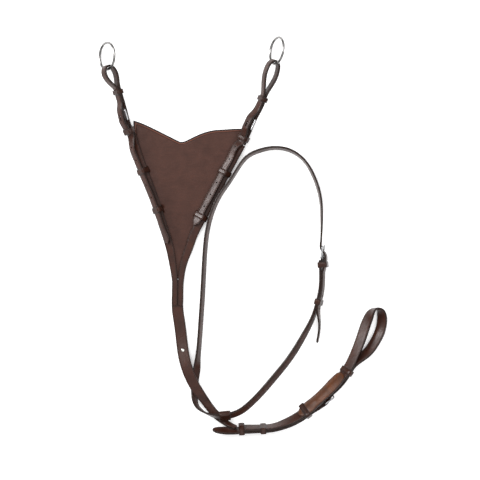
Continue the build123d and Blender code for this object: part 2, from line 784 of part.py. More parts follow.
for label, place, travel in NECK_KEEPERS:
    s = neck_bar + place
    s_billet = nearest_after(neck, guide.offset(s, NECK_THICK + NECK_BILLET_GAP), neck.length * 0.8)
    band, block = keeper(
        cross_plane(guide, s),
        [(guide, s), (neck, s_billet)],
        KEEPER_LENGTH,
        slack=NECK_KEEPER_SLACK,
        travel=travel,
    )
    keep(f"neck_{label}_keeper", band)

# Girth strap: along the ground to its loop, and back beneath itself through the buckle
GIRTH_BUCKLE_SPOT = Vector(148.0, -306.5, 20)
GIRTH_LAYER_GAP = 0.6
GIRTH_TAIL = ((-34.0, -368.6, -60, 22.0), (-58.0, -366.8, -56, 13.6))
GIRTH_KEEPER_SLACK = 0.35
GUARD_ENDS = (Vector(108, -339, 14), Vector(190, -262, 14))
GUARD_WIDTHS = ((0, 15.0), (0.07, 24.0), (0.3, GUARD_WIDTH), (0.6, GUARD_WIDTH), (0.88, 26.0), (1.0, 20.0))
girth_main = Strap(lying(GIRTH_MAIN, CHEST_WIDTH, CHEST_THICK), CHEST_THICK)
girth_bar = nearest(girth_main, GIRTH_BUCKLE_SPOT)
girth_stations = lying(GIRTH_MAIN, CHEST_WIDTH, CHEST_THICK)
girth_stations += lying(GIRTH_MAIN[-1:] + GIRTH_LOOP, CHEST_WIDTH, CHEST_THICK)[1:]
for s in (girth_main.length - 2.0, girth_main.length - 24.0):
    girth_stations.append((girth_main.offset(s, -CHEST_THICK - GIRTH_LAYER_GAP), girth_main.frame(s)[2], CHEST_WIDTH))
girth_stations += billet_over_buckle(
    girth_main, girth_bar, 1, -1, CHEST_THICK, CHEST_WIDTH, OPEN_BILLET_LEVELS
)
s = girth_bar - 60.0
while s > 0:
    girth_stations.append((girth_main.offset(s, -CHEST_THICK - 0.5), girth_main.frame(s)[2], CHEST_WIDTH))
    s -= 26.0
for x, y, lean, tip_width in GIRTH_TAIL:
    across = Vector(0, math.cos(math.radians(lean)), math.sin(math.radians(lean)))
    height = 0.4 + CHEST_WIDTH / 2 * abs(across.Z) + CHEST_THICK / 2 * across.Y
    girth_stations.append((Vector(x, y, height), across, tip_width))
girth = Strap(girth_stations, CHEST_THICK)
girth_frame = girth_main.frame(girth_bar)
girth_plane = Plane(
    origin=girth_main.offset(girth_bar, -CHEST_THICK / 2),
    x_dir=girth_frame[1],
    z_dir=girth_frame[3] * -1,
)
buckle("girth", girth_plane, CHEST_WIDTH, OPEN_FAR_LEVEL, OPEN_TONGUE_TIP)
girth_solid = cut_slot(girth.solid(10.0), girth_plane, OPEN_SLOT)
keep("girth_strap", girth_solid)

guard_stations = []
guard_first = nearest(girth_main, GUARD_ENDS[0])
guard_last = nearest(girth_main, GUARD_ENDS[1])
guard_level = CHEST_THICK / 2 + GUARD_THICK / 2 + LAYER_GAP
for share, width in GUARD_WIDTHS:
    s = guard_first + (guard_last - guard_first) * share
    guard_stations.append((girth_main.offset(s, guard_level), girth_main.frame(s)[2], width))
guard = Strap(guard_stations, GUARD_THICK)
keep("girth_guard", guard.solid(10.0))

GIRTH_SPOTS = (
    ("girth_keeper_1", Vector(-3.0, -364.6, 12)),
    ("girth_keeper_2", Vector(38.0, -363.0, 12)),
    ("girth_buckle_keeper", Vector(119.0, -331.5, 18)),
    ("girth_loop_keeper", Vector(196.0, -254.6, 16)),
)
for label, spot in GIRTH_SPOTS:
    s = nearest(girth_main, spot)
    s_return = nearest_after(girth, girth_main.offset(s, -CHEST_THICK - GIRTH_LAYER_GAP), girth.length * 0.55)
    layers = [(girth_main, s), (girth, s_return)]
    if label == "girth_buckle_keeper":
        layers.append((guard, nearest(guard, spot)))
    if label == "girth_keeper_1":
        layers.append((chest, chest.length))
    band, block = keeper(cross_plane(girth_main, s), layers, KEEPER_LENGTH, slack=GIRTH_KEEPER_SLACK)
    keep(label, band)

os.makedirs("parts", exist_ok=True)
for name, shape in PARTS.items():
    export_step(shape, f"parts/{name}.step")
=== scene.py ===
import json
import math

import bmesh
import bpy
from mathutils import Matrix, Vector
from mathutils.geometry import delaunay_2d_cdt


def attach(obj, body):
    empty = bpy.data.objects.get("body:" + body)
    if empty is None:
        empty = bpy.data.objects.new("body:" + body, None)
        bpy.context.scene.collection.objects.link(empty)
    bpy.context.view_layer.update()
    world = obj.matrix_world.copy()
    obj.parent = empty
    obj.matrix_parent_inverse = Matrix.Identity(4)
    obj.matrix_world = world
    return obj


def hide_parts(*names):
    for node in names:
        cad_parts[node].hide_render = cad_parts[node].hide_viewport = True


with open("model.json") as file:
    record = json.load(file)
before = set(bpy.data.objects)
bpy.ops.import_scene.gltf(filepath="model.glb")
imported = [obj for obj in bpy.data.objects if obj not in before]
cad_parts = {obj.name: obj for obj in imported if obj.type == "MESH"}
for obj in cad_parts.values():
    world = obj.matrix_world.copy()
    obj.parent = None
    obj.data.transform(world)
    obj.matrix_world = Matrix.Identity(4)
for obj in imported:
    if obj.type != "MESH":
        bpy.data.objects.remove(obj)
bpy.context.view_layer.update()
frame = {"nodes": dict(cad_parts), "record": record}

# Bib martingale. Lengths are millimetres, measured from a drawing whose middle is at ORIGIN;
# MM and ORIGIN turn them into the frame's metres.
MM = 0.001
ORIGIN = Vector((-3.64, -0.09, 0.0))
UP = Vector((0, 0, 1))

# Leather
STRAP_THICK = 3.6
WIDE_THICK = 4.0
GUARD_THICK = 2.8
CHAPE_THICK = 1.4
RING_STRAP_WIDTH = 15.0
FORK_WIDTH = 16.0
FORK_END_WIDTH = 10.6
NECK_WIDTH = 16.0
WIDE_WIDTH = 22.0
GUARD_WIDTH = 27.0
KEEPER_LENGTH = 11.0
KEEPER_THICK = 1.8
HOLE_RADIUS = 1.7
HOLE_PITCH = 25.4

# Metal
RING_RADIUS = 25.5
RING_WIRE = 2.5
RING_REST_GAP = 0.1

# Height of a billet's underside over the strap below, by distance from the pivot bar
OPEN_BILLET_LEVELS = (
    (30.0, 1.4), (23.0, 0.6), (17.5, 0.7), (10.5, 4.2), (4.0, 7.4),
    (-3.0, 7.6), (-10.0, 5.9), (-18.0, 4.1), (-26.0, 1.5), (-36.0, 0.5),
)
FLAT_BILLET_LEVELS = (
    (38.0, 1.2), (30.0, 3.2), (22.0, 6.4), (10.5, 7.4), (4.0, 7.8),
    (-3.0, 7.8), (-10.0, 5.9), (-18.0, 4.1), (-26.0, 1.5), (-36.0, 0.5),
)
# Long hole in a billet: distance of its middle from the pivot bar, length, level of its middle
OPEN_SLOT = (9.6, 13.0, 5.0)
FLAT_SLOT = (6.5, 11.0, 9.0)
SLOT_WIDTH = 3.2
SLOT_DEPTH = 9.0

# Routes: x, y, lift of the lower edge, lean in degrees, and the width where it changes
LEFT_FORK = (
    (-130.0, -132.0, 4.4, 0, FORK_END_WIDTH), (-129.6, -112.0, 4.4, 0, FORK_END_WIDTH),
    (-129.4, -92.0, 4.4, 0, FORK_END_WIDTH), (-131.0, -72.0, 3.6, 0, 11.5),
    (-134.4, -48.0, 2.6, 0, 13.5), (-140.3, -17.0, 2.6, 0, 15.5), (-152.6, 22.0, 2.6, 0, 16.0),
    (-166.5, 66.0, 2.6, 0, 16.0), (-182.8, 110.0, 2.6, 0, 16.0), (-197.6, 150.0, 2.6, -3, 16.0),
    (-205.5, 175.0, 2.9, -14, 16.0),
)
LEFT_RING_LINE = (
    (-205.9, 176.4, 2.9, -15), (-209.2, 190.0, 3.1, -24), (-214.5, 203.0, 3.6, -42),
    (-221.4, 223.0, 4.8, -50), (-227.0, 245.0, 6.0, -50), (-232.2, 264.0, 7.4, -52),
    (-236.5, 279.5, 8.6, -54),
)
RIGHT_FORK = (
    (-119.0, -132.0, 4.4, 0, FORK_END_WIDTH), (-118.6, -112.0, 4.4, 0, FORK_END_WIDTH),
    (-118.2, -92.0, 4.4, 0, FORK_END_WIDTH), (-116.4, -72.0, 3.6, 0, 11.5),
    (-111.8, -48.0, 2.6, 0, 13.5), (-103.4, -24.0, 2.6, 0, 15.5), (-93.4, 4.0, 2.6, 0, 16.0),
    (-76.0, 37.6, 2.6, 0, 16.0), (-46.9, 92.2, 2.6, 0, 16.0), (-18.0, 146.7, 2.6, -3, 16.0),
    (-2.5, 175.0, 2.9, -14, 16.0),
)
RIGHT_RING_LINE = (
    (-1.8, 176.4, 2.9, -17), (4.8, 189.4, 3.2, -35), (10.6, 202.0, 3.6, -40),
    (19.3, 221.6, 4.6, -43), (29.7, 240.8, 6.0, -46), (36.0, 253.6, 7.5, -50),
    (40.8, 265.0, 8.4, -61),
)
CHEST = (
    (-124.0, -82.0, 0.2, 0), (-124.6, -112.0, 0.2, 0), (-124.4, -138.0, 0.2, 0),
    (-120.7, -164.4, 0.3, 4), (-116.1, -201.4, 2.6, 7), (-111.0, -232.8, 8.2, 6),
    (-102.8, -259.9, 12.2, 3, 21.0), (-93.5, -280.0, 12.9, 1, 20.0), (-84.9, -293.8, 12.9, 0, 19.0),
    (-77.3, -304.8, 9.6, 0, 17.6), (-70.2, -315.2, 4.0, 0, 16.4), (-63.4, -324.8, 0.8, 0, 16.0),
    (-52.4, -337.7, 0.3, 0, 15.6), (-41.2, -347.7, 0.4, -6, 14.0), (-31.2, -354.8, 1.6, -26, 12.0),
    (-21.8, -359.4, 5.4, -52, 12.0), (-12.4, -363.2, 8.5, -60, 12.0),
)
NECK_GUIDE = (
    (142.8, 24.0, 4.6, -94), (142.8, 0.0, 4.6, -88), (144.4, -24.0, 4.6, -81),
    (147.0, -48.0, 4.6, -77), (148.4, -73.2, 4.6, -71), (146.8, -101.9, 4.0, -70),
    (141.3, -126.9, 4.0, -68), (135.1, -148.1, 3.0, -66), (118.2, -183.6, 1.0, -54),
    (84.6, -237.3, 0.2, -48), (61.6, -265.7, 0.2, -47), (39.5, -291.7, 0.4, -47),
    (13.6, -318.2, 3.0, -47), (-9.2, -334.4, 6.4, -47), (-22.9, -339.2, 7.0, -48),
    (-36.0, -341.6, 7.2, -54), (-49.0, -341.2, 7.2, -62), (-62.0, -338.4, 6.8, -76),
    (-76.0, -332.0, 5.9, -92), (-87.0, -322.4, 2.6, -108), (-91.4, -309.6, 0.8, -126),
    (-91.4, -295.5, 0.2, -150), (-92.0, -276.5, 0.2, -158), (-88.6, -255.0, 0.2, -150),
    (-86.4, -236.0, 0.2, -126), (-84.2, -215.7, 0.2, -116), (-81.2, -177.6, 0.2, -115),
    (-77.4, -120.7, 0.2, -115), (-74.8, -73.2, 0.2, -114), (-72.0, -25.6, 0.2, -113),
    (-67.2, 13.2, 0.2, -113), (-58.2, 46.8, 0.2, -112), (-43.9, 77.6, 0.2, -110),
    (-23.9, 106.4, 0.2, -106), (-9.0, 130.3, 0.2, -106), (8.4, 151.6, 0.2, -108),
    (31.2, 162.9, 0.2, -109), (60.8, 168.4, 0.2, -106), (86.9, 164.4, 0.2, -105),
    (111.9, 149.0, 0.2, -101), (135.1, 113.0, 0.2, -103), (147.5, 70.1, 1.4, -100),
    (149.4, 34.0, 3.6, -96),
)
NECK_TAIL = (
    (145.2, -165.0, 3.0, -80), (140.8, -202.0, 2.0, -76),
)
GIRTH_MAIN = (
    (-8.6, -364.6, 4.9, -62), (13.3, -363.4, 4.9, -66), (38.0, -362.9, 4.6, -68),
    (60.8, -360.1, 4.6, -66), (79.8, -353.8, 5.4, -58), (98.8, -344.9, 7.6, -50),
    (116.0, -333.8, 9.6, -45), (136.8, -316.4, 11.0, -43), (159.6, -295.5, 11.0, -43),
    (180.5, -273.6, 9.6, -44), (193.8, -257.6, 7.4, -45), (204.6, -240.4, 5.6, -44),
)
GIRTH_LOOP = (
    (214.0, -220.0, 4.2, -42), (223.6, -196.0, 2.8, -38), (232.0, -171.0, 1.8, -37),
    (238.8, -153.6, 1.2, -46), (245.4, -142.4, 0.8, -66), (253.6, -137.0, 0.6, -92),
    (260.6, -141.0, 0.6, -118), (264.2, -151.0, 0.8, -136), (263.6, -166.0, 1.2, -144),
    (259.6, -182.0, 1.8, -145), (250.6, -200.0, 2.6, -142), (236.0, -220.0, 3.2, -137),
)


# Straps: each station is (centre point, direction across, width)
def spline_slopes(knots, values):
    """Second derivatives of the natural cubic spline through values at knots."""
    count = len(knots)
    second = [0.0] * count
    carry = [0.0] * count
    for i in range(1, count - 1):
        left = knots[i] - knots[i - 1]
        right = knots[i + 1] - knots[i]
        share = left / (left + right)
        pivot = share * second[i - 1] + 2.0
        bend = (values[i + 1] - values[i]) / right - (values[i] - values[i - 1]) / left
        second[i] = (share - 1.0) / pivot
        carry[i] = (6.0 * bend / (left + right) - share * carry[i - 1]) / pivot
    second[count - 1] = 0.0
    for i in range(count - 2, -1, -1):
        second[i] = second[i] * second[i + 1] + carry[i]
    return second


class Curve:
    """Smooth curve through rows of numbers. The first two or three of each row are its place."""

    def __init__(self, rows):
        self.knots = [0.0]
        for i in range(1, len(rows)):
            self.knots.append(self.knots[-1] + math.dist(rows[i][:3], rows[i - 1][:3]))
        self.length = self.knots[-1]
        self.columns = list(zip(*rows))
        self.seconds = [spline_slopes(self.knots, column) for column in self.columns]

    def values(self, s):
        s = min(max(s, 0.0), self.length)
        i = 1
        while i < len(self.knots) - 1 and self.knots[i] < s:
            i += 1
        span = self.knots[i] - self.knots[i - 1]
        a = (self.knots[i] - s) / span
        b = 1.0 - a
        found = []
        for column, second in zip(self.columns, self.seconds):
            curve = (a**3 - a) * second[i - 1] + (b**3 - b) * second[i]
            found.append(a * column[i - 1] + b * column[i] + curve * span * span / 6.0)
        return found


class Strap(Curve):
    """A strap of varying width along a smooth centre line through its stations."""

    def __init__(self, stations, thick):
        self.thick = thick
        super().__init__([(*point, *across, width) for point, across, width in stations])

    def frame(self, s):
        """Centre, direction along, direction across, face normal and width at distance s.

        Past either end the strap's centre line goes on straight.
        """
        inside = min(max(s, 0.0), self.length)
        here = self.values(inside)
        along = Vector(self.values(inside + 0.5)[:3]) - Vector(self.values(inside - 0.5)[:3])
        along.normalize()
        across = Vector(here[3:6])
        across = (across - along * across.dot(along)).normalized()
        return Vector(here[:3]) + along * (s - inside), along, across, along.cross(across), here[6]

    def point(self, s):
        return self.frame(s)[0]

    def across(self, s):
        return self.frame(s)[2]

    def above(self, s, level):
        """Point out of the strap's face at distance s."""
        point, along, across, normal, width = self.frame(s)
        return point + normal * level

    def corners(self, s):
        point, along, across, normal, width = self.frame(s)
        half = self.thick / 2
        sides = ((-1, -1), (1, -1), (1, 1), (-1, 1))
        return [point + across * (side * width / 2) + normal * (face * half) for side, face in sides]

    def nearest(self, point, start=0.0):
        """Distance along the strap, past start, of the place closest to point."""
        places = range(int(start), int(self.length) + 1)
        return float(min(places, key=lambda s: (Vector(self.values(s)[:3]) - point).length))


def lying(route, width, thick):
    """Stations of a strap that rests on the table along route.

    Lift raises the lower edge off the table. A positive lean raises the edge on the left.
    """
    stations = []
    for i, (x, y, lift, lean, *own_width) in enumerate(route):
        here_width = own_width[0] if own_width else width
        before = route[max(i - 1, 0)]
        after = route[min(i + 1, len(route) - 1)]
        along = Vector((after[0] - before[0], after[1] - before[1], 0)).normalized()
        angle = math.radians(lean)
        across = UP.cross(along) * math.cos(angle) + UP * math.sin(angle)
        height = lift + here_width / 2 * abs(math.sin(angle)) + thick / 2 * abs(math.cos(angle))
        stations.append((Vector((x, y, height)), across, here_width))
    return stations


def billet_over_buckle(carrier, s_bar, direction, face, thick, width, levels):
    """Stations of a billet over a buckle's bars, from the far bar's side to the tail's.

    direction is +1 where the far bar lies at larger s, and face is the side it is worn on.
    """
    half = carrier.thick / 2 + thick / 2
    stations = []
    for distance, level in levels:
        s = s_bar + direction * distance
        stations.append((carrier.above(s, face * (half + level)), carrier.across(s), width))
    return stations


straps = {}
rings = {}
buckles = {}
slots = {}
holes = {}
bands = {}


def add_band(name, strap, s, layers, length=KEEPER_LENGTH, slack=0.15, travel=0.0, thick=KEEPER_THICK):
    """Records a band round layers, square to strap at s.

    layers is a list of (strap, distance). Their sections within the band's length and travel
    give the outline of its hollow.
    """
    origin, z, x, normal, width = strap.frame(s)
    y = z.cross(x)
    reach = length / 2 + travel + 0.5
    outline = []
    for layer, place in layers:
        for k in range(-3, 4):
            for corner in layer.corners(place + reach * k / 3):
                outline.append(((corner - origin).dot(x), (corner - origin).dot(y)))
    bands[name] = (origin, x, z, length, slack, thick, outline)


# Outline of a ring strap's loop from its neck: share of its reach, distance sideways
LOOP_OUTLINE = ((0.0, 2.3), (0.25, 6.2), (0.54, 11.6), (0.78, 11.6), (0.94, 7.4), (1.0, 0.0))
PIVOT_BACK = 6.7
NECK_RISE = 2.3
RING_KEEPER_LENGTH = 9.0
RING_KEEPER_BACK = 5.0
BILLET_STEP = 24.0
BILLET_TIP_LENGTH = 6.0
BILLET_TIP_SHARE = 0.55
BILLET_TOP_BACK = 4.0
BILLET_LAST_STEP = 14.0
# Where the billet comes back over its line: distance from the loop's neck, gap between them
RETURN_BACK = 12.0
RETURN_GAP = 1.0
# Heights from which the search for a place on a line or a fork starts, and the share of a ring
# strap's length that lies before its billet
LINE_HEIGHT = 8.0
FORK_HEIGHT = 5.0
BILLET_START_SHARE = 0.3
BILLET_RISE = 7.6
RING_KEEPER_RISE = 4.6


class Billet:
    """A ring strap's billet over its fork strap.

    It has one lean, and an offset to the left and up at its tip and at its top.
    """

    def __init__(self, fork, tip_y, lean, at_tip, at_top):
        self.fork = fork
        self.tip = min(range(int(fork.length)), key=lambda s: abs(fork.values(s)[1] - tip_y))
        self.lean = math.radians(lean)
        self.at_tip = at_tip
        self.at_top = at_top

    def point(self, s):
        share = (s - self.tip) / (self.fork.length - self.tip)
        side, rise = (low + (high - low) * share for low, high in zip(self.at_tip, self.at_top))
        return self.fork.point(s) + UP * rise + fork_left(self.fork, s) * side

    def station(self, s, width):
        point, along, across, normal, fork_width = self.fork.frame(s)
        angle = self.lean - math.asin(across.z)
        return self.point(s), across * math.cos(angle) + normal * math.sin(angle), width


def fork_left(fork, s):
    """Level direction to the left of the fork strap's travel."""
    return UP.cross(fork.frame(s)[1]).normalized()


def ring_axes(line, neck, target):
    """Direction from the loop's neck to target, and the line's across direction square to it."""
    along = (target - neck).normalized()
    across = line.across(line.length)
    return along, (across - along * across.dot(along)).normalized()


def turned_pull(line, neck, centre, degrees):
    """Direction from a loop's pivot to its ring's centre: the pull turned about across."""
    along, across = ring_axes(line, neck, centre)
    angle = math.radians(degrees)
    return along * math.cos(angle) - along.cross(across) * math.sin(angle)


def add_fork(name, fork_route, line_route, ring_xy, ring_turn, bar_xy, line_keeper, spots, billet, punched):
    """One fork: fork strap, ring strap with its loop and billet, ring, keepers and buckle."""
    fork = Strap(lying(fork_route, FORK_WIDTH, STRAP_THICK), STRAP_THICK)
    stations = lying(line_route, RING_STRAP_WIDTH, STRAP_THICK)
    line = Strap(stations, STRAP_THICK)
    neck = line.above(line.length, NECK_RISE)
    ring_z = RING_RADIUS
    for settle in range(4):
        centre = Vector((*ring_xy, ring_z))
        ring_along = turned_pull(line, neck, centre, ring_turn)
        pivot = centre - ring_along * RING_RADIUS
        along, across = ring_axes(line, neck, pivot)
        axis = ring_along.cross(across).normalized()
        ring_z = RING_RADIUS * math.sqrt(1 - axis.z**2) + RING_WIRE + RING_REST_GAP
    rings[f"{name}_rein_ring"] = (centre, axis)

    normal = along.cross(across)
    loop_reach = (pivot - neck).length + PIVOT_BACK
    del stations[-1]
    outward = [(reach, -side) for reach, side in LOOP_OUTLINE]
    back = [(reach, side) for reach, side in LOOP_OUTLINE[-2::-1]]
    for reach, side in outward + back:
        point = neck + along * (reach * loop_reach) + normal * side
        stations.append((point, across, RING_STRAP_WIDTH))
    bar = line.nearest(Vector((*bar_xy, LINE_HEIGHT)))
    upper = line.length - RETURN_BACK
    point = line.above(upper, STRAP_THICK + RETURN_GAP)
    stations.append((point, line.across(upper), RING_STRAP_WIDTH))
    over = billet_over_buckle(line, bar, 1, 1, STRAP_THICK, RING_STRAP_WIDTH, FLAT_BILLET_LEVELS)
    stations += over[:-1]
    over_fork = Billet(fork, *billet)
    s = fork.length - BILLET_TOP_BACK
    while s > over_fork.tip + BILLET_LAST_STEP:
        stations.append(over_fork.station(s, RING_STRAP_WIDTH))
        s -= BILLET_STEP
    stations.append(over_fork.station(over_fork.tip + BILLET_TIP_LENGTH, RING_STRAP_WIDTH))
    stations.append(over_fork.station(over_fork.tip, RING_STRAP_WIDTH * BILLET_TIP_SHARE))
    strap = Strap(stations, STRAP_THICK)
    straps[f"{name}_fork_strap"] = fork
    straps[f"{name}_ring_strap"] = strap

    point, bar_along, bar_across, bar_normal, width = line.frame(bar)
    origin = point + bar_normal * (STRAP_THICK / 2)
    buckles[f"{name}_fork"] = (origin, bar_along, bar_normal, RING_STRAP_WIDTH)
    slots[f"{name}_ring_strap"] = (f"{name}_fork", FLAT_SLOT)
    first_hole = strap.nearest(over_fork.point(fork.length)) + punched[0]
    holes[f"{name}_ring_strap"] = [first_hole + HOLE_PITCH * i for i in range(punched[1])]

    s = line.nearest(Vector((*line_keeper, LINE_HEIGHT)))
    s_over = strap.nearest(line.above(s, BILLET_RISE), strap.length * BILLET_START_SHARE)
    add_band(f"{name}_bib_keeper_1", line, s, [(line, s), (strap, s_over)])
    for i, spot in enumerate(spots):
        s = fork.nearest(Vector((*spot, FORK_HEIGHT)))
        s_billet = strap.nearest(over_fork.point(s))
        add_band(f"{name}_bib_keeper_{i + 2}", fork, s, [(fork, s), (strap, s_billet)])
    s = line.length - RING_KEEPER_BACK
    s_high = strap.nearest(line.above(s, RING_KEEPER_RISE), strap.length * BILLET_START_SHARE)
    layers = [(line, s), (strap, s_high)]
    add_band(f"{name}_ring_keeper", line, s, layers, RING_KEEPER_LENGTH, slack=0.45, travel=3.0)


add_fork(
    "left",
    LEFT_FORK,
    LEFT_RING_LINE,
    ring_xy=(-257.6, 341.8),
    ring_turn=17.0,
    bar_xy=(-221.0, 222.0),
    line_keeper=(-214.2, 202.0),
    spots=((-188.6, 125.4), (-161.8, 51.0)),
    billet=(-13.5, -50.0, (0.6, 9.4), (6.6, 8.0)),
    punched=(4.0, 5),
)
add_fork(
    "right",
    RIGHT_FORK,
    RIGHT_RING_LINE,
    ring_xy=(64.0, 352.0),
    ring_turn=-4.0,
    bar_xy=(11.8, 205.0),
    line_keeper=(4.0, 186.0),
    spots=((-32.0, 120.0), (-77.0, 36.0)),
    billet=(18.0, -33.0, (6.7, 5.3), (6.7, 5.3)),
    punched=(10.0, 6),
)
left_fork = straps["left_fork_strap"]
right_fork = straps["right_fork_strap"]
chest = Strap(lying(CHEST, WIDE_WIDTH, WIDE_THICK), WIDE_THICK)
straps["chest_strap"] = chest

# Neck strap: chape end at the right, down, round through the loop and back to the buckle
NECK_LOOP_SPOT = Vector((-35.0, -341.6, 14))
NECK_BUCKLE_SPOT = Vector((146.2, -40.0, 12))
NECK_BILLET_GAP = 0.5
NECK_BILLET_PLACES = (52.0, 76.0, 94.0)
NECK_KEEPERS = (("upper", 14.0, 0.0), ("lower", 85.0, 2.0))
NECK_HOLES_BACK = 40.0
NECK_HOLES = 3
NECK_TIP_SHARE = 0.6
NECK_START_PAST_BAR = 5.0
NECK_FIRST_STEP = 4.0
NECK_BILLET_SHARE = 0.8
guide_stations = lying(NECK_GUIDE, NECK_WIDTH, STRAP_THICK)
guide = Strap(guide_stations, STRAP_THICK)
loop_s = guide.nearest(NECK_LOOP_SPOT)
add_band("neck_loop", guide, loop_s, [(guide, loop_s)], length=22.0, slack=0.4, travel=4.0, thick=1.9)
neck_bar = guide.nearest(NECK_BUCKLE_SPOT)
start_s = neck_bar + NECK_START_PAST_BAR
cut_off = next(i for i, knot in enumerate(guide.knots) if knot > start_s + NECK_FIRST_STEP)
neck_stations = [(guide.point(start_s), guide.across(start_s), NECK_WIDTH)]
neck_stations += guide_stations[cut_off:]
neck_stations += billet_over_buckle(guide, neck_bar, -1, 1, STRAP_THICK, NECK_WIDTH, OPEN_BILLET_LEVELS)
for place in NECK_BILLET_PLACES:
    s = neck_bar + place
    point = guide.above(s, STRAP_THICK + NECK_BILLET_GAP)
    neck_stations.append((point, guide.across(s), NECK_WIDTH))
tail, (tip_point, tip_across, tip_width) = lying(NECK_TAIL, NECK_WIDTH, STRAP_THICK)
neck_stations += [tail, (tip_point, tip_across, NECK_WIDTH * NECK_TIP_SHARE)]
neck = Strap(neck_stations, STRAP_THICK)
straps["neck_strap"] = neck
point, along, across, normal, width = guide.frame(neck_bar)
buckles["neck"] = (point + normal * (STRAP_THICK / 2), -along, normal, NECK_WIDTH)
slots["neck_strap"] = ("neck", OPEN_SLOT)
holes["neck_strap"] = [neck.length - NECK_HOLES_BACK - HOLE_PITCH * i for i in range(NECK_HOLES)]
for label, place, travel in NECK_KEEPERS:
    s = neck_bar + place
    s_billet = neck.nearest(
        guide.above(s, STRAP_THICK + NECK_BILLET_GAP), neck.length * NECK_BILLET_SHARE
    )
    add_band(f"neck_{label}_keeper", guide, s, [(guide, s), (neck, s_billet)], slack=0.4, travel=travel)

# Girth strap: along the ground to its loop, and back beneath itself through the buckle
GIRTH_BUCKLE_SPOT = Vector((148.0, -306.5, 20))
GIRTH_LAYER_GAP = 0.6
GIRTH_TAIL_GAP = 0.5
GIRTH_RETURN_BACKS = (2.0, 24.0)
GIRTH_RETURN_SHARE = 0.55
GIRTH_TAIL_PAST_BAR = 60.0
GIRTH_TAIL_STEP = 26.0
GIRTH_TAIL = ((-34.0, -368.6, -60, 22.0), (-58.0, -366.8, -56, 13.6))
GIRTH_TAIL_LIFT = 0.4
GIRTH_KEEPER_SLACK = 0.35
GIRTH_SPOTS = (
    ("girth_keeper_1", Vector((-3.0, -364.6, 12))),
    ("girth_keeper_2", Vector((38.0, -363.0, 12))),
    ("girth_buckle_keeper", Vector((119.0, -331.5, 18))),
    ("girth_loop_keeper", Vector((196.0, -254.6, 16))),
)
GUARD_ENDS = (Vector((108, -339, 14)), Vector((190, -262, 14)))
GUARD_GAP = 0.4
GUARD_WIDTHS = ((0, 15.0), (0.07, 24.0), (0.3, GUARD_WIDTH), (0.6, GUARD_WIDTH), (0.88, 26.0), (1.0, 20.0))
girth_stations = lying(GIRTH_MAIN, WIDE_WIDTH, WIDE_THICK)
girth_main = Strap(girth_stations, WIDE_THICK)
girth_bar = girth_main.nearest(GIRTH_BUCKLE_SPOT)
girth_stations += lying(GIRTH_MAIN[-1:] + GIRTH_LOOP, WIDE_WIDTH, WIDE_THICK)[1:]
for back in GIRTH_RETURN_BACKS:
    s = girth_main.length - back
    point = girth_main.above(s, -WIDE_THICK - GIRTH_LAYER_GAP)
    girth_stations.append((point, girth_main.across(s), WIDE_WIDTH))
girth_stations += billet_over_buckle(
    girth_main, girth_bar, 1, -1, WIDE_THICK, WIDE_WIDTH, OPEN_BILLET_LEVELS
)
s = girth_bar - GIRTH_TAIL_PAST_BAR
while s > 0:
    point = girth_main.above(s, -WIDE_THICK - GIRTH_TAIL_GAP)
    girth_stations.append((point, girth_main.across(s), WIDE_WIDTH))
    s -= GIRTH_TAIL_STEP
for x, y, lean, tip_width in GIRTH_TAIL:
    across = Vector((0, math.cos(math.radians(lean)), math.sin(math.radians(lean))))
    height = GIRTH_TAIL_LIFT + WIDE_WIDTH / 2 * abs(across.z) + WIDE_THICK / 2 * across.y
    girth_stations.append((Vector((x, y, height)), across, tip_width))
girth = Strap(girth_stations, WIDE_THICK)
straps["girth_strap"] = girth
point, along, across, normal, width = girth_main.frame(girth_bar)
buckles["girth"] = (point - normal * (WIDE_THICK / 2), along, -normal, WIDE_WIDTH)
slots["girth_strap"] = ("girth", OPEN_SLOT)

guard_first, guard_last = (girth_main.nearest(end) for end in GUARD_ENDS)
guard_level = WIDE_THICK / 2 + GUARD_THICK / 2 + GUARD_GAP
guard_stations = []
for share, width in GUARD_WIDTHS:
    s = guard_first + (guard_last - guard_first) * share
    guard_stations.append((girth_main.above(s, guard_level), girth_main.across(s), width))
guard = Strap(guard_stations, GUARD_THICK)

for label, spot in GIRTH_SPOTS:
    s = girth_main.nearest(spot)
    s_return = girth.nearest(
        girth_main.above(s, -WIDE_THICK - GIRTH_LAYER_GAP), girth.length * GIRTH_RETURN_SHARE
    )
    layers = [(girth_main, s), (girth, s_return)]
    if label == "girth_buckle_keeper":
        layers.append((guard, guard.nearest(spot)))
    if label == "girth_keeper_1":
        layers.append((chest, chest.length))
    add_band(label, girth_main, s, layers, slack=GIRTH_KEEPER_SLACK)

# Outline of the bib, whose long sides lie under the fork straps
BIB_EDGE = 3.0
BIB_SIDE_START = 52.0
BIB_SIDE_POINTS = 9
BIB_SPACING = 4.0
BIB_LEFT_CORNER = (-208.6, 221.0)
BIB_RIGHT_CORNER = (17.5, 201.6)
BIB_TOP = ((-196.1, 216.8), (-167.8, 204.3), (-133.2, 187.0), (-119.0, 180.0))
BIB_TOP_RIGHT = ((-110.5, 181.2), (-86.0, 193.2), (-60.0, 201.6), (-30.0, 204.2), (0.0, 204.8))


def bib_side(fork, outward):
    """Points just outside the middle of a fork strap, from the bottom up."""
    found = []
    for i in range(BIB_SIDE_POINTS + 1):
        s = BIB_SIDE_START + (fork.length - 2 - BIB_SIDE_START) * i / BIB_SIDE_POINTS
        point = fork.point(s) + fork_left(fork, s) * outward
        found.append((point.x, point.y))
    return found


def evenly(points):
    """Even places along the smooth curve through points, without its last end."""
    curve = Curve(points)
    count = max(1, int(curve.length / BIB_SPACING))
    return [tuple(curve.values(curve.length * i / count)) for i in range(count)]


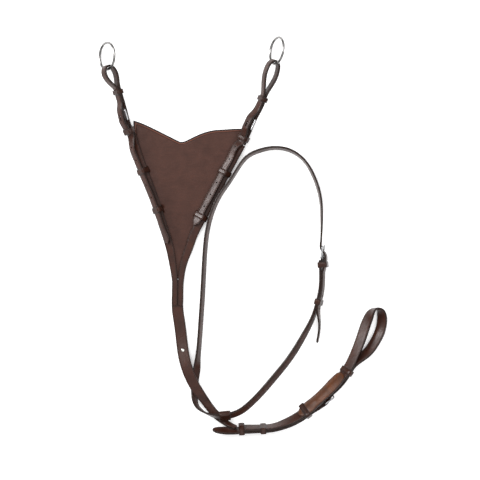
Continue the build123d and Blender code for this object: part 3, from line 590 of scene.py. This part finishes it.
left_side = bib_side(left_fork, BIB_EDGE)
right_side = bib_side(right_fork, -BIB_EDGE)
bib_outline = (
    evenly(left_side)
    + evenly((left_side[-1], BIB_LEFT_CORNER))
    + evenly((BIB_LEFT_CORNER, *BIB_TOP))
    + evenly((BIB_TOP[-1], BIB_TOP_RIGHT[0]))
    + evenly((*BIB_TOP_RIGHT, BIB_RIGHT_CORNER))
    + evenly((BIB_RIGHT_CORNER, right_side[-1]))
    + evenly(right_side[::-1])
    + evenly((right_side[0], left_side[0]))
)

BODY_OF = {}
for body_name, node_names in frame["record"]["behaviour"]["bodies"].items():
    for node_name in node_names:
        BODY_OF[node_name] = body_name


# Mesh helpers
def new_object(name, verts, faces, smooth_angle=50.0):
    mesh = bpy.data.meshes.new(name)
    mesh.from_pydata([tuple((place - ORIGIN) * MM) for place in verts], [], faces)
    mesh.validate()
    mesh.polygons.foreach_set("use_smooth", [True] * len(mesh.polygons))
    if smooth_angle:
        mesh.set_sharp_from_angle(angle=math.radians(smooth_angle))
    piece = bpy.data.objects.new(name, mesh)
    bpy.context.scene.collection.objects.link(piece)
    return piece


def set_edge(piece, values):
    """Stores how close each vertex is to a cut edge or crease, for the leather's edge dye. Negative values
    mark a raised line that gets a painted highlight.
    """
    layer = piece.data.attributes.new("edge", "FLOAT", "POINT")
    layer.data.foreach_set("value", values)


def ring_faces(count, size, closed=False, flip=False):
    """Quads between count successive rings of size vertices. Closed joins the last to the first."""
    faces = []
    for i in range(count if closed else count - 1):
        here = i * size
        ahead = (i + 1) % count * size
        for j in range(size):
            k = (j + 1) % size
            a, b, c, d = here + j, ahead + j, ahead + k, here + k
            faces.append((a, d, c, b) if flip else (a, b, c, d))
    return faces


def strap_section(half, thick, crease, crown):
    """Closed outline of a strap's section: (across, out of face, edge value)."""
    t = thick / 2
    k = min(1.0, half / 4.0)
    round_off = min(0.8, t * 0.7)
    dip = crease * k
    side = (
        (half, 0.0, 1.0),
        (half - 0.06 * k, t - round_off, 1.0),
        (half - 0.28 * k, t - 0.3 * round_off, 0.9),
        (half - 0.8 * k, t - 0.02, 0.55),
        (half - 1.3 * k, t, 0.15),
        (half - 1.7 * k, t - dip, 0.85),
        (half - 2.1 * k, t + 0.02, 0.1),
        (half - 3.4 * k, t + crown * 0.5, 0.0),
    )
    top = [(x, z, e) for x, z, e in side]
    top.append((0.0, t + crown, 0.0))
    top += [(-x, z, e) for x, z, e in reversed(side)]
    bottom = [(x, -z, e) for x, z, e in reversed(top[1:-1])]
    return top + bottom


def end_scale(d, reach):
    """Share of the full width at distance d from a rounded tip that is reach long."""
    if d >= reach:
        return 1.0
    return math.sqrt(max(0.0, 1.0 - (1.0 - d / reach) ** 2)) * 0.97 + 0.03


def strap_mesh(name, strap, step=2.0, start_tip=0.0, end_tip=0.0, crease=0.3, crown=0.12, bulge=None):
    """Sweeps the section along the strap, with a rounded tip where an end shows."""
    places = []
    count = max(4, round(strap.length / step))
    for i in range(count + 1):
        places.append(strap.length * i / count)
    for tip, base, sign in ((start_tip, 0.0, 1), (end_tip, strap.length, -1)):
        if tip:
            places = [s for s in places if abs(s - base) >= tip]
            places += [base + sign * tip * (1 - math.cos(math.pi / 2 * i / 9)) for i in range(10)]
    places = sorted(places)
    verts = []
    edges = []
    for s in places:
        point, along, across, normal, width = strap.frame(s)
        scale = 1.0
        if start_tip:
            scale *= end_scale(s, start_tip)
        if end_tip:
            scale *= end_scale(strap.length - s, end_tip)
        lift = bulge(s) if bulge else crown
        for x, z, edge in strap_section(width / 2 * scale, strap.thick, crease, lift):
            verts.append(point + across * x + normal * z)
            edges.append(max(edge, 1.0 if scale < 0.5 else 0.0))
    ring = len(verts) // len(places)
    faces = ring_faces(len(places), ring)
    faces.append(tuple(range(ring)))
    faces.append(tuple(range(len(verts) - 1, len(verts) - ring - 1, -1)))
    piece = new_object(name, verts, faces)
    set_edge(piece, edges)
    return piece


def plane_matrix(origin, x, z):
    """Placement in the frame of a plane with x and z axes at origin."""
    turn = Matrix((x, z.cross(x), z)).transposed().to_4x4()
    return Matrix.Translation((origin - ORIGIN) * MM) @ turn


def cut(piece, cutters):
    """Cuts the closed cutter shapes out of the piece."""
    for cutter in cutters:
        modifier = piece.modifiers.new("cut", "BOOLEAN")
        modifier.object = cutter
        modifier.operation = "DIFFERENCE"
        modifier.solver = "EXACT"
    bpy.context.view_layer.update()
    graph = bpy.context.evaluated_depsgraph_get()
    result = bpy.data.meshes.new_from_object(piece.evaluated_get(graph))
    piece.modifiers.clear()
    piece.data = result
    for cutter in cutters:
        bpy.data.objects.remove(cutter)


def cutter_from(shape, matrix):
    """Turns the bmesh shape into a cutter, placed by matrix."""
    mesh = bpy.data.meshes.new("cutter")
    shape.to_mesh(mesh)
    shape.free()
    cutter = bpy.data.objects.new("cutter", mesh)
    cutter.matrix_world = matrix
    bpy.context.scene.collection.objects.link(cutter)
    return cutter


def cylinder_cutter(matrix, radius, depth, sides=24):
    shape = bmesh.new()
    bmesh.ops.create_cone(
        shape, cap_ends=True, segments=sides, radius1=radius * MM, radius2=radius * MM, depth=depth * MM
    )
    return cutter_from(shape, matrix)


def box_cutter(matrix, centre, size):
    """Box with rounded edges, centre and size in the axes of matrix."""
    shape = bmesh.new()
    bmesh.ops.create_cube(shape, size=1.0)
    for vert in shape.verts:
        vert.co = Vector([(c + v * d) * MM for c, v, d in zip(centre, vert.co, size)])
    bmesh.ops.bevel(
        shape, geom=shape.edges[:], offset=0.9 * MM, segments=3, affect="EDGES", profile=0.5
    )
    return cutter_from(shape, matrix)


# Materials
def node_material(name):
    material = bpy.data.materials.new(name)
    material.use_nodes = True
    tree = material.node_tree
    return material, tree, tree.nodes["Principled BSDF"]


def noise(tree, coords, scale, detail, distortion=0.0):
    node = tree.nodes.new("ShaderNodeTexNoise")
    node.inputs["Scale"].default_value = scale
    node.inputs["Detail"].default_value = detail
    node.inputs["Distortion"].default_value = distortion
    tree.links.new(coords, node.inputs["Vector"])
    return node.outputs["Fac"]


def mix(tree, factor, a, b, kind="MIX"):
    node = tree.nodes.new("ShaderNodeMix")
    node.data_type = "RGBA"
    node.blend_type = kind
    for socket, value in ((node.inputs[0], factor), (node.inputs[6], a), (node.inputs[7], b)):
        if isinstance(value, (int, float)):
            socket.default_value = value
        elif isinstance(value, tuple):
            socket.default_value = (*value, 1.0)
        else:
            tree.links.new(value, socket)
    return node.outputs[2]


def span(tree, value, low, high, out_low=0.0, out_high=1.0):
    node = tree.nodes.new("ShaderNodeMapRange")
    tree.links.new(value, node.inputs[0])
    for i, number in enumerate((low, high, out_low, out_high)):
        node.inputs[i + 1].default_value = number
    return node.outputs[0]


def leather(name, colour, edge_colour, mottle=0.35, rough=0.42, grain=0.35, mottle_scale=45.0, streak=0.0):
    """Dyed leather: blotchy dye, fine pebbled grain, creases and darker cut edges, and a painted highlight
    on raised lines.
    """
    material, tree, shader = node_material(name)
    coords = tree.nodes.new("ShaderNodeTexCoord").outputs["Object"]
    blotch = span(tree, noise(tree, coords, mottle_scale, 5.0, 0.4), 0.3, 0.72)
    light = tuple(c * (1 + mottle) for c in colour)
    dark = tuple(c * (1 - mottle) for c in colour)
    dye = mix(tree, blotch, dark, light)
    fleck = span(tree, noise(tree, coords, 420.0, 3.0), 0.35, 0.7)
    dye = mix(tree, span(tree, fleck, 0.0, 1.0, 0.0, 0.35), dye, tuple(c * 0.55 for c in colour))
    edge = tree.nodes.new("ShaderNodeAttribute")
    edge.attribute_name = "edge"
    wear = span(tree, noise(tree, coords, 160.0, 2.0), 0.62, 0.75, 1.0, 0.55)
    reach = tree.nodes.new("ShaderNodeMath")
    reach.operation = "MULTIPLY"
    reach.use_clamp = True
    tree.links.new(edge.outputs["Fac"], reach.inputs[0])
    tree.links.new(wear, reach.inputs[1])
    if streak:
        stretch = tree.nodes.new("ShaderNodeMapping")
        stretch.inputs["Scale"].default_value = (0.25, 2.2, 1.0)
        tree.links.new(coords, stretch.inputs["Vector"])
        lines = span(tree, noise(tree, stretch.outputs["Vector"], 260.0, 4.0, 0.6), 0.45, 0.7, 0.0, streak)
        dye = mix(tree, lines, dye, tuple(c * 2.1 for c in colour))
    # Painted highlight: where the edge value is negative, on the raised line inside the bib's rim, the
    # colour is lightened towards 2.6 times the dye.
    ridge_highlight = span(tree, edge.outputs["Fac"], -1.0, 0.0, 0.8, 0.0)
    dye = mix(tree, ridge_highlight, dye, tuple(c * 2.6 for c in colour))
    dye = mix(tree, reach.outputs[0], dye, edge_colour)
    tree.links.new(dye, shader.inputs["Base Color"])
    tree.links.new(span(tree, blotch, 0.0, 1.0, rough + 0.1, rough - 0.06), shader.inputs["Roughness"])
    pores = tree.nodes.new("ShaderNodeTexVoronoi")
    pores.inputs["Scale"].default_value = 900.0
    tree.links.new(coords, pores.inputs["Vector"])
    height = tree.nodes.new("ShaderNodeMath")
    height.operation = "MULTIPLY_ADD"
    tree.links.new(noise(tree, coords, 300.0, 6.0, 0.2), height.inputs[0])
    height.inputs[1].default_value = 1.4
    tree.links.new(pores.outputs["Distance"], height.inputs[2])
    bump = tree.nodes.new("ShaderNodeBump")
    bump.inputs["Strength"].default_value = grain
    bump.inputs["Distance"].default_value = 0.00025
    tree.links.new(height.outputs[0], bump.inputs["Height"])
    tree.links.new(bump.outputs["Normal"], shader.inputs["Normal"])
    shader.inputs["Specular IOR Level"].default_value = 0.22
    return material


def steel(name, colour, rough):
    """Polished metal with faint brushing and smudges."""
    material, tree, shader = node_material(name)
    coords = tree.nodes.new("ShaderNodeTexCoord").outputs["Object"]
    smudge = span(tree, noise(tree, coords, 90.0, 4.0), 0.35, 0.75)
    tree.links.new(mix(tree, smudge, colour, tuple(c * 0.82 for c in colour)), shader.inputs["Base Color"])
    tree.links.new(span(tree, smudge, 0.0, 1.0, rough, rough + 0.1), shader.inputs["Roughness"])
    shader.inputs["Metallic"].default_value = 1.0
    bump = tree.nodes.new("ShaderNodeBump")
    bump.inputs["Strength"].default_value = 0.04
    bump.inputs["Distance"].default_value = 0.0001
    tree.links.new(noise(tree, coords, 700.0, 3.0), bump.inputs["Height"])
    tree.links.new(bump.outputs["Normal"], shader.inputs["Normal"])
    return material


BLACK_BROWN = (0.013, 0.0055, 0.0035)
strap_leather = leather("strap_leather", (0.037, 0.0125, 0.0075), BLACK_BROWN, rough=0.27)
keeper_leather = leather("keeper_leather", (0.032, 0.0115, 0.007), BLACK_BROWN, rough=0.22)
chape_leather = leather("chape_leather", (0.034, 0.014, 0.009), BLACK_BROWN)
bib_leather = leather(
    "bib_leather",
    (0.047, 0.016, 0.0098),
    (0.008, 0.0035, 0.0025),
    mottle=0.16,
    rough=0.44,
    grain=0.6,
    mottle_scale=55.0,
    streak=0.14,
)
guard_leather = leather(
    "guard_leather", (0.082, 0.027, 0.0095), (0.018, 0.007, 0.004), mottle=0.45, rough=0.28, grain=0.4
)
thread = leather(
    "thread", (0.05, 0.024, 0.016), BLACK_BROWN, mottle=0.3, rough=0.6, grain=0.8, mottle_scale=300.0
)
ring_steel = steel("ring_steel", (0.24, 0.235, 0.23), 0.17)
buckle_steel = steel("buckle_steel", (0.42, 0.42, 0.43), 0.16)
stud_steel = steel("stud_steel", (0.74, 0.72, 0.68), 0.14)


def finish_piece(piece, node, material, shown_for=True):
    """Gives a piece its material and its body, and lets it stand for its CAD node."""
    piece.data.materials.clear()
    piece.data.materials.append(material)
    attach(piece, BODY_OF[node])
    if shown_for:
        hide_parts(node)


# Straps, with how far their rounded tips reach at the start and the end
HOLE_DEPTH = 9.0
TIPS = {
    "left_ring_strap": (0.0, 9.0),
    "right_ring_strap": (0.0, 9.0),
    "left_fork_strap": (3.0, 0.0),
    "right_fork_strap": (3.0, 0.0),
    "chest_strap": (6.0, 3.0),
    "neck_strap": (0.0, 9.0),
    "girth_strap": (3.0, 12.0),
}
for name, (start_tip, end_tip) in TIPS.items():
    strap = straps[name]
    piece = strap_mesh(f"{name}_leather", strap, start_tip=start_tip, end_tip=end_tip)
    cutters = []
    for s in holes.get(name, ()):
        point, along, across, normal, width = strap.frame(s)
        cutters.append(cylinder_cutter(plane_matrix(point, along, normal), HOLE_RADIUS, HOLE_DEPTH))
    if name in slots:
        buckle_name, (middle, length, level) = slots[name]
        origin, x, z, width = buckles[buckle_name]
        size = (length, SLOT_WIDTH, SLOT_DEPTH)
        cutters.append(box_cutter(plane_matrix(origin, x, z), (middle, 0, level), size))
    if cutters:
        cut(piece, cutters)
    finish_piece(piece, name, strap_leather)

# Stitching: one piece of thread for each pair of rows
STITCH_PITCH = 3.2
STITCH_LENGTH = 2.1
STITCH_RADIUS = 0.32
STITCH_LIFT = 0.06
STITCH_SIDES = 6
STITCH_PROFILE = ((-1.0, 0.35), (-0.6, 0.95), (0.6, 0.95), (1.0, 0.35))


def stitch_row(verts, faces, strap, first, last, inset, side):
    """Adds a row of stitches on the strap's face, inset from one of its edges."""
    s = first
    while s < last:
        point, along, across, normal, width = strap.frame(s)
        centre = point + across * (side * (width / 2 - inset)) + normal * (strap.thick / 2 + STITCH_LIFT)
        base = len(verts)
        for place, size in STITCH_PROFILE:
            for k in range(STITCH_SIDES):
                angle = 2 * math.pi * k / STITCH_SIDES
                rim = across * math.cos(angle) + normal * math.sin(angle)
                verts.append(centre + along * (place * STITCH_LENGTH / 2) + rim * (STITCH_RADIUS * size))
        for face in ring_faces(len(STITCH_PROFILE), STITCH_SIDES, flip=True):
            faces.append(tuple(base + i for i in face))
        faces.append(tuple(range(base + STITCH_SIDES - 1, base - 1, -1)))
        faces.append(tuple(range(len(verts) - STITCH_SIDES, len(verts))))
        s += STITCH_PITCH


def stitches(name, node, strap, first, last, inset):
    """Two rows of stitches, one along each edge of a strap."""
    verts = []
    faces = []
    for side in (-1, 1):
        stitch_row(verts, faces, strap, first, last, inset, side)
    piece = new_object(name, verts, faces, 0)
    finish_piece(piece, node, thread, shown_for=False)


for name, strap in (("left", left_fork), ("right", right_fork)):
    stitches(f"{name}_fork_thread", f"{name}_fork_strap", strap, 6.0, strap.length - 1, 2.6)
stitches("chest_thread", "chest_strap", chest, 5.0, 66.0, 2.8)
stitches("chest_end_thread", "chest_strap", chest, chest.length - 62.0, chest.length - 4.0, 2.6)

# Keepers and the neck loop: rounded leather bands
BAND_POINTS = 72
BAND_DIRECTIONS = 180


def band_outline(points, grow):
    """Convex outline of points, grown outwards with rounded corners and evenly resampled."""
    rim = []
    for i in range(BAND_DIRECTIONS):
        angle = 2 * math.pi * i / BAND_DIRECTIONS
        d = (math.cos(angle), math.sin(angle))
        x, y = max(points, key=lambda p: p[0] * d[0] + p[1] * d[1])
        rim.append((x + d[0] * grow, y + d[1] * grow))
    lengths = [0.0]
    for i in range(BAND_DIRECTIONS):
        lengths.append(lengths[-1] + math.dist(rim[i], rim[(i + 1) % BAND_DIRECTIONS]))
    found = []
    place = 0
    for i in range(BAND_POINTS):
        target = lengths[-1] * i / BAND_POINTS
        while lengths[place + 1] < target:
            place += 1
        part = (target - lengths[place]) / max(1e-9, lengths[place + 1] - lengths[place])
        a = rim[place]
        b = rim[(place + 1) % BAND_DIRECTIONS]
        found.append((a[0] + (b[0] - a[0]) * part, a[1] + (b[1] - a[1]) * part))
    return found


def band_section(length, thick):
    """Section of a band: (out of the hollow, along the strap, edge value)."""
    half = length / 2
    r = min(0.7, thick * 0.4)
    outer = (
        (thick - r, half, 1.0),
        (thick - 0.3 * r, half - 0.3 * r, 0.9),
        (thick, half - r, 0.4),
        (thick, half - 1.3, 0.1),
        (thick - 0.28, half - 1.7, 0.9),
        (thick, half - 2.1, 0.1),
        (thick + 0.12, half - 3.2, 0.0),
    )
    points = [(0.0, half - 0.3, 1.0), (0.3, half, 1.0)]
    points += list(outer)
    points.append((thick + 0.16, 0.0, 0.0))
    points += [(o, -a, e) for o, a, e in reversed(outer)]
    points += [(0.3, -half, 1.0), (0.0, -half + 0.3, 1.0)]
    return points


def band(name):
    origin, x, z, length, slack, thick, outline = bands[name]
    y = z.cross(x)
    rim = band_outline(outline, slack)
    section = band_section(length, thick)
    verts = []
    edges = []
    for i, (px, py) in enumerate(rim):
        ahead = rim[(i + 1) % BAND_POINTS]
        behind = rim[i - 1]
        out = Vector((ahead[1] - behind[1], behind[0] - ahead[0])).normalized()
        for grow, along, edge in section:
            verts.append(origin + x * (px + out.x * grow) + y * (py + out.y * grow) + z * along)
            edges.append(edge)
    faces = ring_faces(BAND_POINTS, len(section), closed=True, flip=True)
    piece = new_object(f"{name}_leather", verts, faces)
    set_edge(piece, edges)
    finish_piece(piece, name, keeper_leather)


for name in bands:
    band(name)

# Chapes: a thin tab folded round the pivot bar of each buckle.
# CHAPE_FOLD runs (towards the far bar, out of the strap) from one end of the tab to the other.
CHAPE_NARROWER = 1.2
CHAPE_SLOT_MIDDLE = (2.5, 0, 4.5)
CHAPE_SLOT_SIZE = (13.0, 3.4, 12.0)
CHAPE_FOLD = (
    (-13.4, 1.2),
    (-8.0, 1.2),
    (-3.0, 1.1),
    (0.0, 1.0),
    (1.63, 1.67),
    (2.3, 3.3),
    (1.63, 4.93),
    (0.0, 5.6),
    (-3.0, 5.05),
    (-8.0, 3.9),
    (-13.4, 2.62),
)
for name, (origin, x, z, width) in buckles.items():
    y = z.cross(x)
    stations = [(origin + x * px + z * pz, y, width - CHAPE_NARROWER) for px, pz in CHAPE_FOLD]
    fold = Strap(stations, CHAPE_THICK)
    piece = strap_mesh(f"{name}_chape_leather", fold, step=0.8, crease=0.12, crown=0.0)
    cut(piece, [box_cutter(plane_matrix(origin, x, z), CHAPE_SLOT_MIDDLE, CHAPE_SLOT_SIZE)])
    finish_piece(piece, f"{name}_chape", chape_leather)

# Rein rings
RING_STEPS = 128
TUBE_STEPS = 28
for name, (centre, z) in rings.items():
    x = z.orthogonal().normalized()
    y = z.cross(x)
    verts = []
    for i in range(RING_STEPS):
        angle = 2 * math.pi * i / RING_STEPS
        out = x * math.cos(angle) + y * math.sin(angle)
        for k in range(TUBE_STEPS):
            turn = 2 * math.pi * k / TUBE_STEPS
            place = out * (RING_RADIUS + RING_WIRE * math.cos(turn)) + z * (RING_WIRE * math.sin(turn))
            verts.append(centre + place)
    faces = ring_faces(RING_STEPS, TUBE_STEPS, closed=True)
    piece = new_object(f"{name}_steel", verts, faces, 0)
    finish_piece(piece, name, ring_steel)

# Buckle frames, tongues and the stud keep their CAD shapes
for name, node in frame["nodes"].items():
    metal = None
    if "buckle_frame" in name or "buckle_tongue" in name:
        metal = buckle_steel
    if name == "chest_stud":
        metal = stud_steel
    if metal:
        node.data.materials.clear()
        node.data.materials.append(metal)

# Bib: flat panel with a rounded, dyed edge and a crease inside it. Each row of BIB_RINGS is the
# distance inwards from the outline, the height and the edge value: 1 is dyed dark, -1 is a raised line
# lightened as a painted highlight.
BIB_RINGS = (
    (0.5, 0.0, 1.0),
    (0.1, 0.35, 1.0),
    (0.0, 1.2, 1.0),
    (0.25, 2.0, 1.0),
    (0.8, 2.4, 1.0),
    (2.5, 2.5, 0.9),
    (3.0, 2.6, -1.0),
    (4.6, 2.55, -1.0),
    (5.2, 1.95, 0.9),
    (5.9, 2.3, 0.2),
    (6.8, 2.4, 0.0),
)


def inward(outline):
    """Inward direction at each point of a clockwise or anticlockwise outline."""
    count = len(outline)
    area = 0.0
    for i in range(count):
        ax, ay = outline[i]
        bx, by = outline[(i + 1) % count]
        area += ax * by - bx * ay
    sign = 1.0 if area > 0 else -1.0
    found = []
    for i in range(count):
        ahead = outline[(i + 1) % count]
        behind = outline[i - 1]
        d = Vector((ahead[0] - behind[0], ahead[1] - behind[1])).normalized()
        found.append(Vector((-d.y, d.x)) * sign)
    return found


BIB_GRID = 6.0
BIB_GAP = 0.25
directions = inward(bib_outline)
verts = []
edges = []
for inset, height, edge in BIB_RINGS:
    for (px, py), d in zip(bib_outline, directions):
        verts.append(Vector((px + d.x * inset, py + d.y * inset, height)))
        edges.append(edge)
count = len(bib_outline)
faces = ring_faces(len(BIB_RINGS), count, flip=True)
for start in (0, len(verts) - count):
    level = verts[start].z
    border = [Vector((p.x, p.y)) for p in verts[start : start + count]]
    rim = [(i, (i + 1) % count) for i in range(count)]
    low = (min(p.x for p in border), min(p.y for p in border))
    high = (max(p.x for p in border), max(p.y for p in border))
    for i in range(int((high[0] - low[0]) / BIB_GRID) + 1):
        for j in range(int((high[1] - low[1]) / BIB_GRID) + 1):
            border.append(Vector((low[0] + BIB_GRID * (i + 0.5 * (j % 2)), low[1] + BIB_GRID * j)))
    filled = delaunay_2d_cdt(border, rim, [], 1, 1e-5)
    source = []
    for place, group in zip(filled[0], filled[3]):
        if group and group[0] < count:
            source.append(start + group[0])
        else:
            source.append(len(verts))
            verts.append(Vector((place.x, place.y, level)))
            edges.append(0.0)
    for corner in filled[2]:
        faces.append([source[i] for i in corner])
bib = new_object("bib_panel_leather", verts, faces)
set_edge(bib, edges)
edit = bmesh.new()
edit.from_mesh(bib.data)
bmesh.ops.recalc_face_normals(edit, faces=edit.faces[:])
edit.to_mesh(bib.data)
edit.free()


def band_cutter(name):
    """The outside of a band as a solid block, for the gap the bib leaves round it."""
    origin, x, z, length, slack, thick, outline = bands[name]
    rim = band_outline(outline, slack + thick + BIB_GAP)
    y = z.cross(x)
    verts = []
    for side in (-1, 1):
        for px, py in rim:
            verts.append(origin + x * px + y * py + z * (side * (length / 2 + BIB_GAP)))
    faces = [tuple(range(BAND_POINTS - 1, -1, -1)), tuple(range(BAND_POINTS, 2 * BAND_POINTS))]
    for i in range(BAND_POINTS):
        j = (i + 1) % BAND_POINTS
        faces.append((i, j, j + BAND_POINTS, i + BAND_POINTS))
    return new_object("cutter", verts, faces)


cut(bib, [band_cutter(name) for name in bands if "bib_keeper" in name])
finish_piece(bib, "bib_panel", bib_leather)

# Girth guard: a padded leather cover, domed, with two soft bumps near its lower end
GUARD_DOME = 1.5
GUARD_BUMPS = (22.0, 40.0)
GUARD_BUMP_HEIGHT = 0.5
GUARD_BUMP_WIDTH = 6.0


def guard_bulge(s):
    share = min(1.0, max(0.0, s / guard.length))
    bulge = GUARD_DOME * math.sin(math.pi * share) ** 0.5
    for place in GUARD_BUMPS:
        bulge += GUARD_BUMP_HEIGHT * math.exp(-(((s - place) / GUARD_BUMP_WIDTH) ** 2))
    return bulge


piece = strap_mesh(
    "girth_guard_leather", guard, step=1.5, start_tip=6.0, end_tip=6.0, crease=0.5, bulge=guard_bulge
)
finish_piece(piece, "girth_guard", guard_leather)
stitches("guard_thread", "girth_guard", guard, 7.0, guard.length - 7, 2.9)

# Floor, light and camera
bpy.ops.mesh.primitive_plane_add(size=60.0, location=(0.0, 0.0, -0.0006))
floor = bpy.context.object
floor.name = "studio_floor"
paper, tree, shader = node_material("paper")
coords = tree.nodes.new("ShaderNodeTexCoord").outputs["Object"]
tint = mix(tree, noise(tree, coords, 3.0, 2.0), (0.93, 0.93, 0.93), (0.95, 0.95, 0.95))
tree.links.new(tint, shader.inputs["Base Color"])
shader.inputs["Roughness"].default_value = 0.95
shader.inputs["Emission Color"].default_value = (1.0, 1.0, 1.0, 1.0)
shader.inputs["Emission Strength"].default_value = 0.3
floor.data.materials.append(paper)

world = bpy.data.worlds.new("studio")
bpy.context.scene.world = world
world.use_nodes = True
tree = world.node_tree
background = tree.nodes["Background"]
direction = tree.nodes.new("ShaderNodeTexCoord").outputs["Generated"]
split = tree.nodes.new("ShaderNodeSeparateXYZ")
tree.links.new(direction, split.inputs[0])
ramp = tree.nodes.new("ShaderNodeValToRGB")
tree.links.new(span(tree, split.outputs["Z"], -0.2, 1.0), ramp.inputs[0])
STOPS = ((0.0, 0.4), (0.17, 0.06), (0.42, 0.10), (0.58, 1.5), (0.72, 0.45), (0.86, 0.8), (1.0, 1.3))
while len(ramp.color_ramp.elements) < len(STOPS):
    ramp.color_ramp.elements.new(0.5)
for element, (place, value) in zip(ramp.color_ramp.elements, STOPS):
    element.position = place
    element.color = (value, value, value, 1.0)
tree.links.new(ramp.outputs[0], background.inputs[0])
background.inputs[1].default_value = 1.0


def area_light(name, place, size, power):
    data = bpy.data.lights.new(name, "AREA")
    data.size = size
    data.energy = power
    light = bpy.data.objects.new(name, data)
    bpy.context.scene.collection.objects.link(light)
    light.location = place
    light.rotation_euler = (-Vector(place)).to_track_quat("-Z", "Y").to_euler()


area_light("key", (-1.0, 1.2, 2.4), 1.3, 34.0)
area_light("fill", (1.6, 0.4, 2.2), 1.5, 18.0)
area_light("back", (0.2, -2.0, 1.8), 1.6, 10.0)
area_light("strip", (-2.4, 1.3, 1.25), 0.9, 55.0)

VIEW_WIDTH = 0.912
LENS = 200.0
camera_data = bpy.data.cameras.new("camera")
camera_data.lens = LENS
camera_data.sensor_width = 36.0
camera_data.clip_end = 60.0
camera = bpy.data.objects.new("camera", camera_data)
bpy.context.scene.collection.objects.link(camera)
camera.location = (-0.00206, -0.00656, VIEW_WIDTH * LENS / 36.0 + 0.01)
bpy.context.scene.camera = camera
bpy.context.scene.view_settings.view_transform = "Standard"
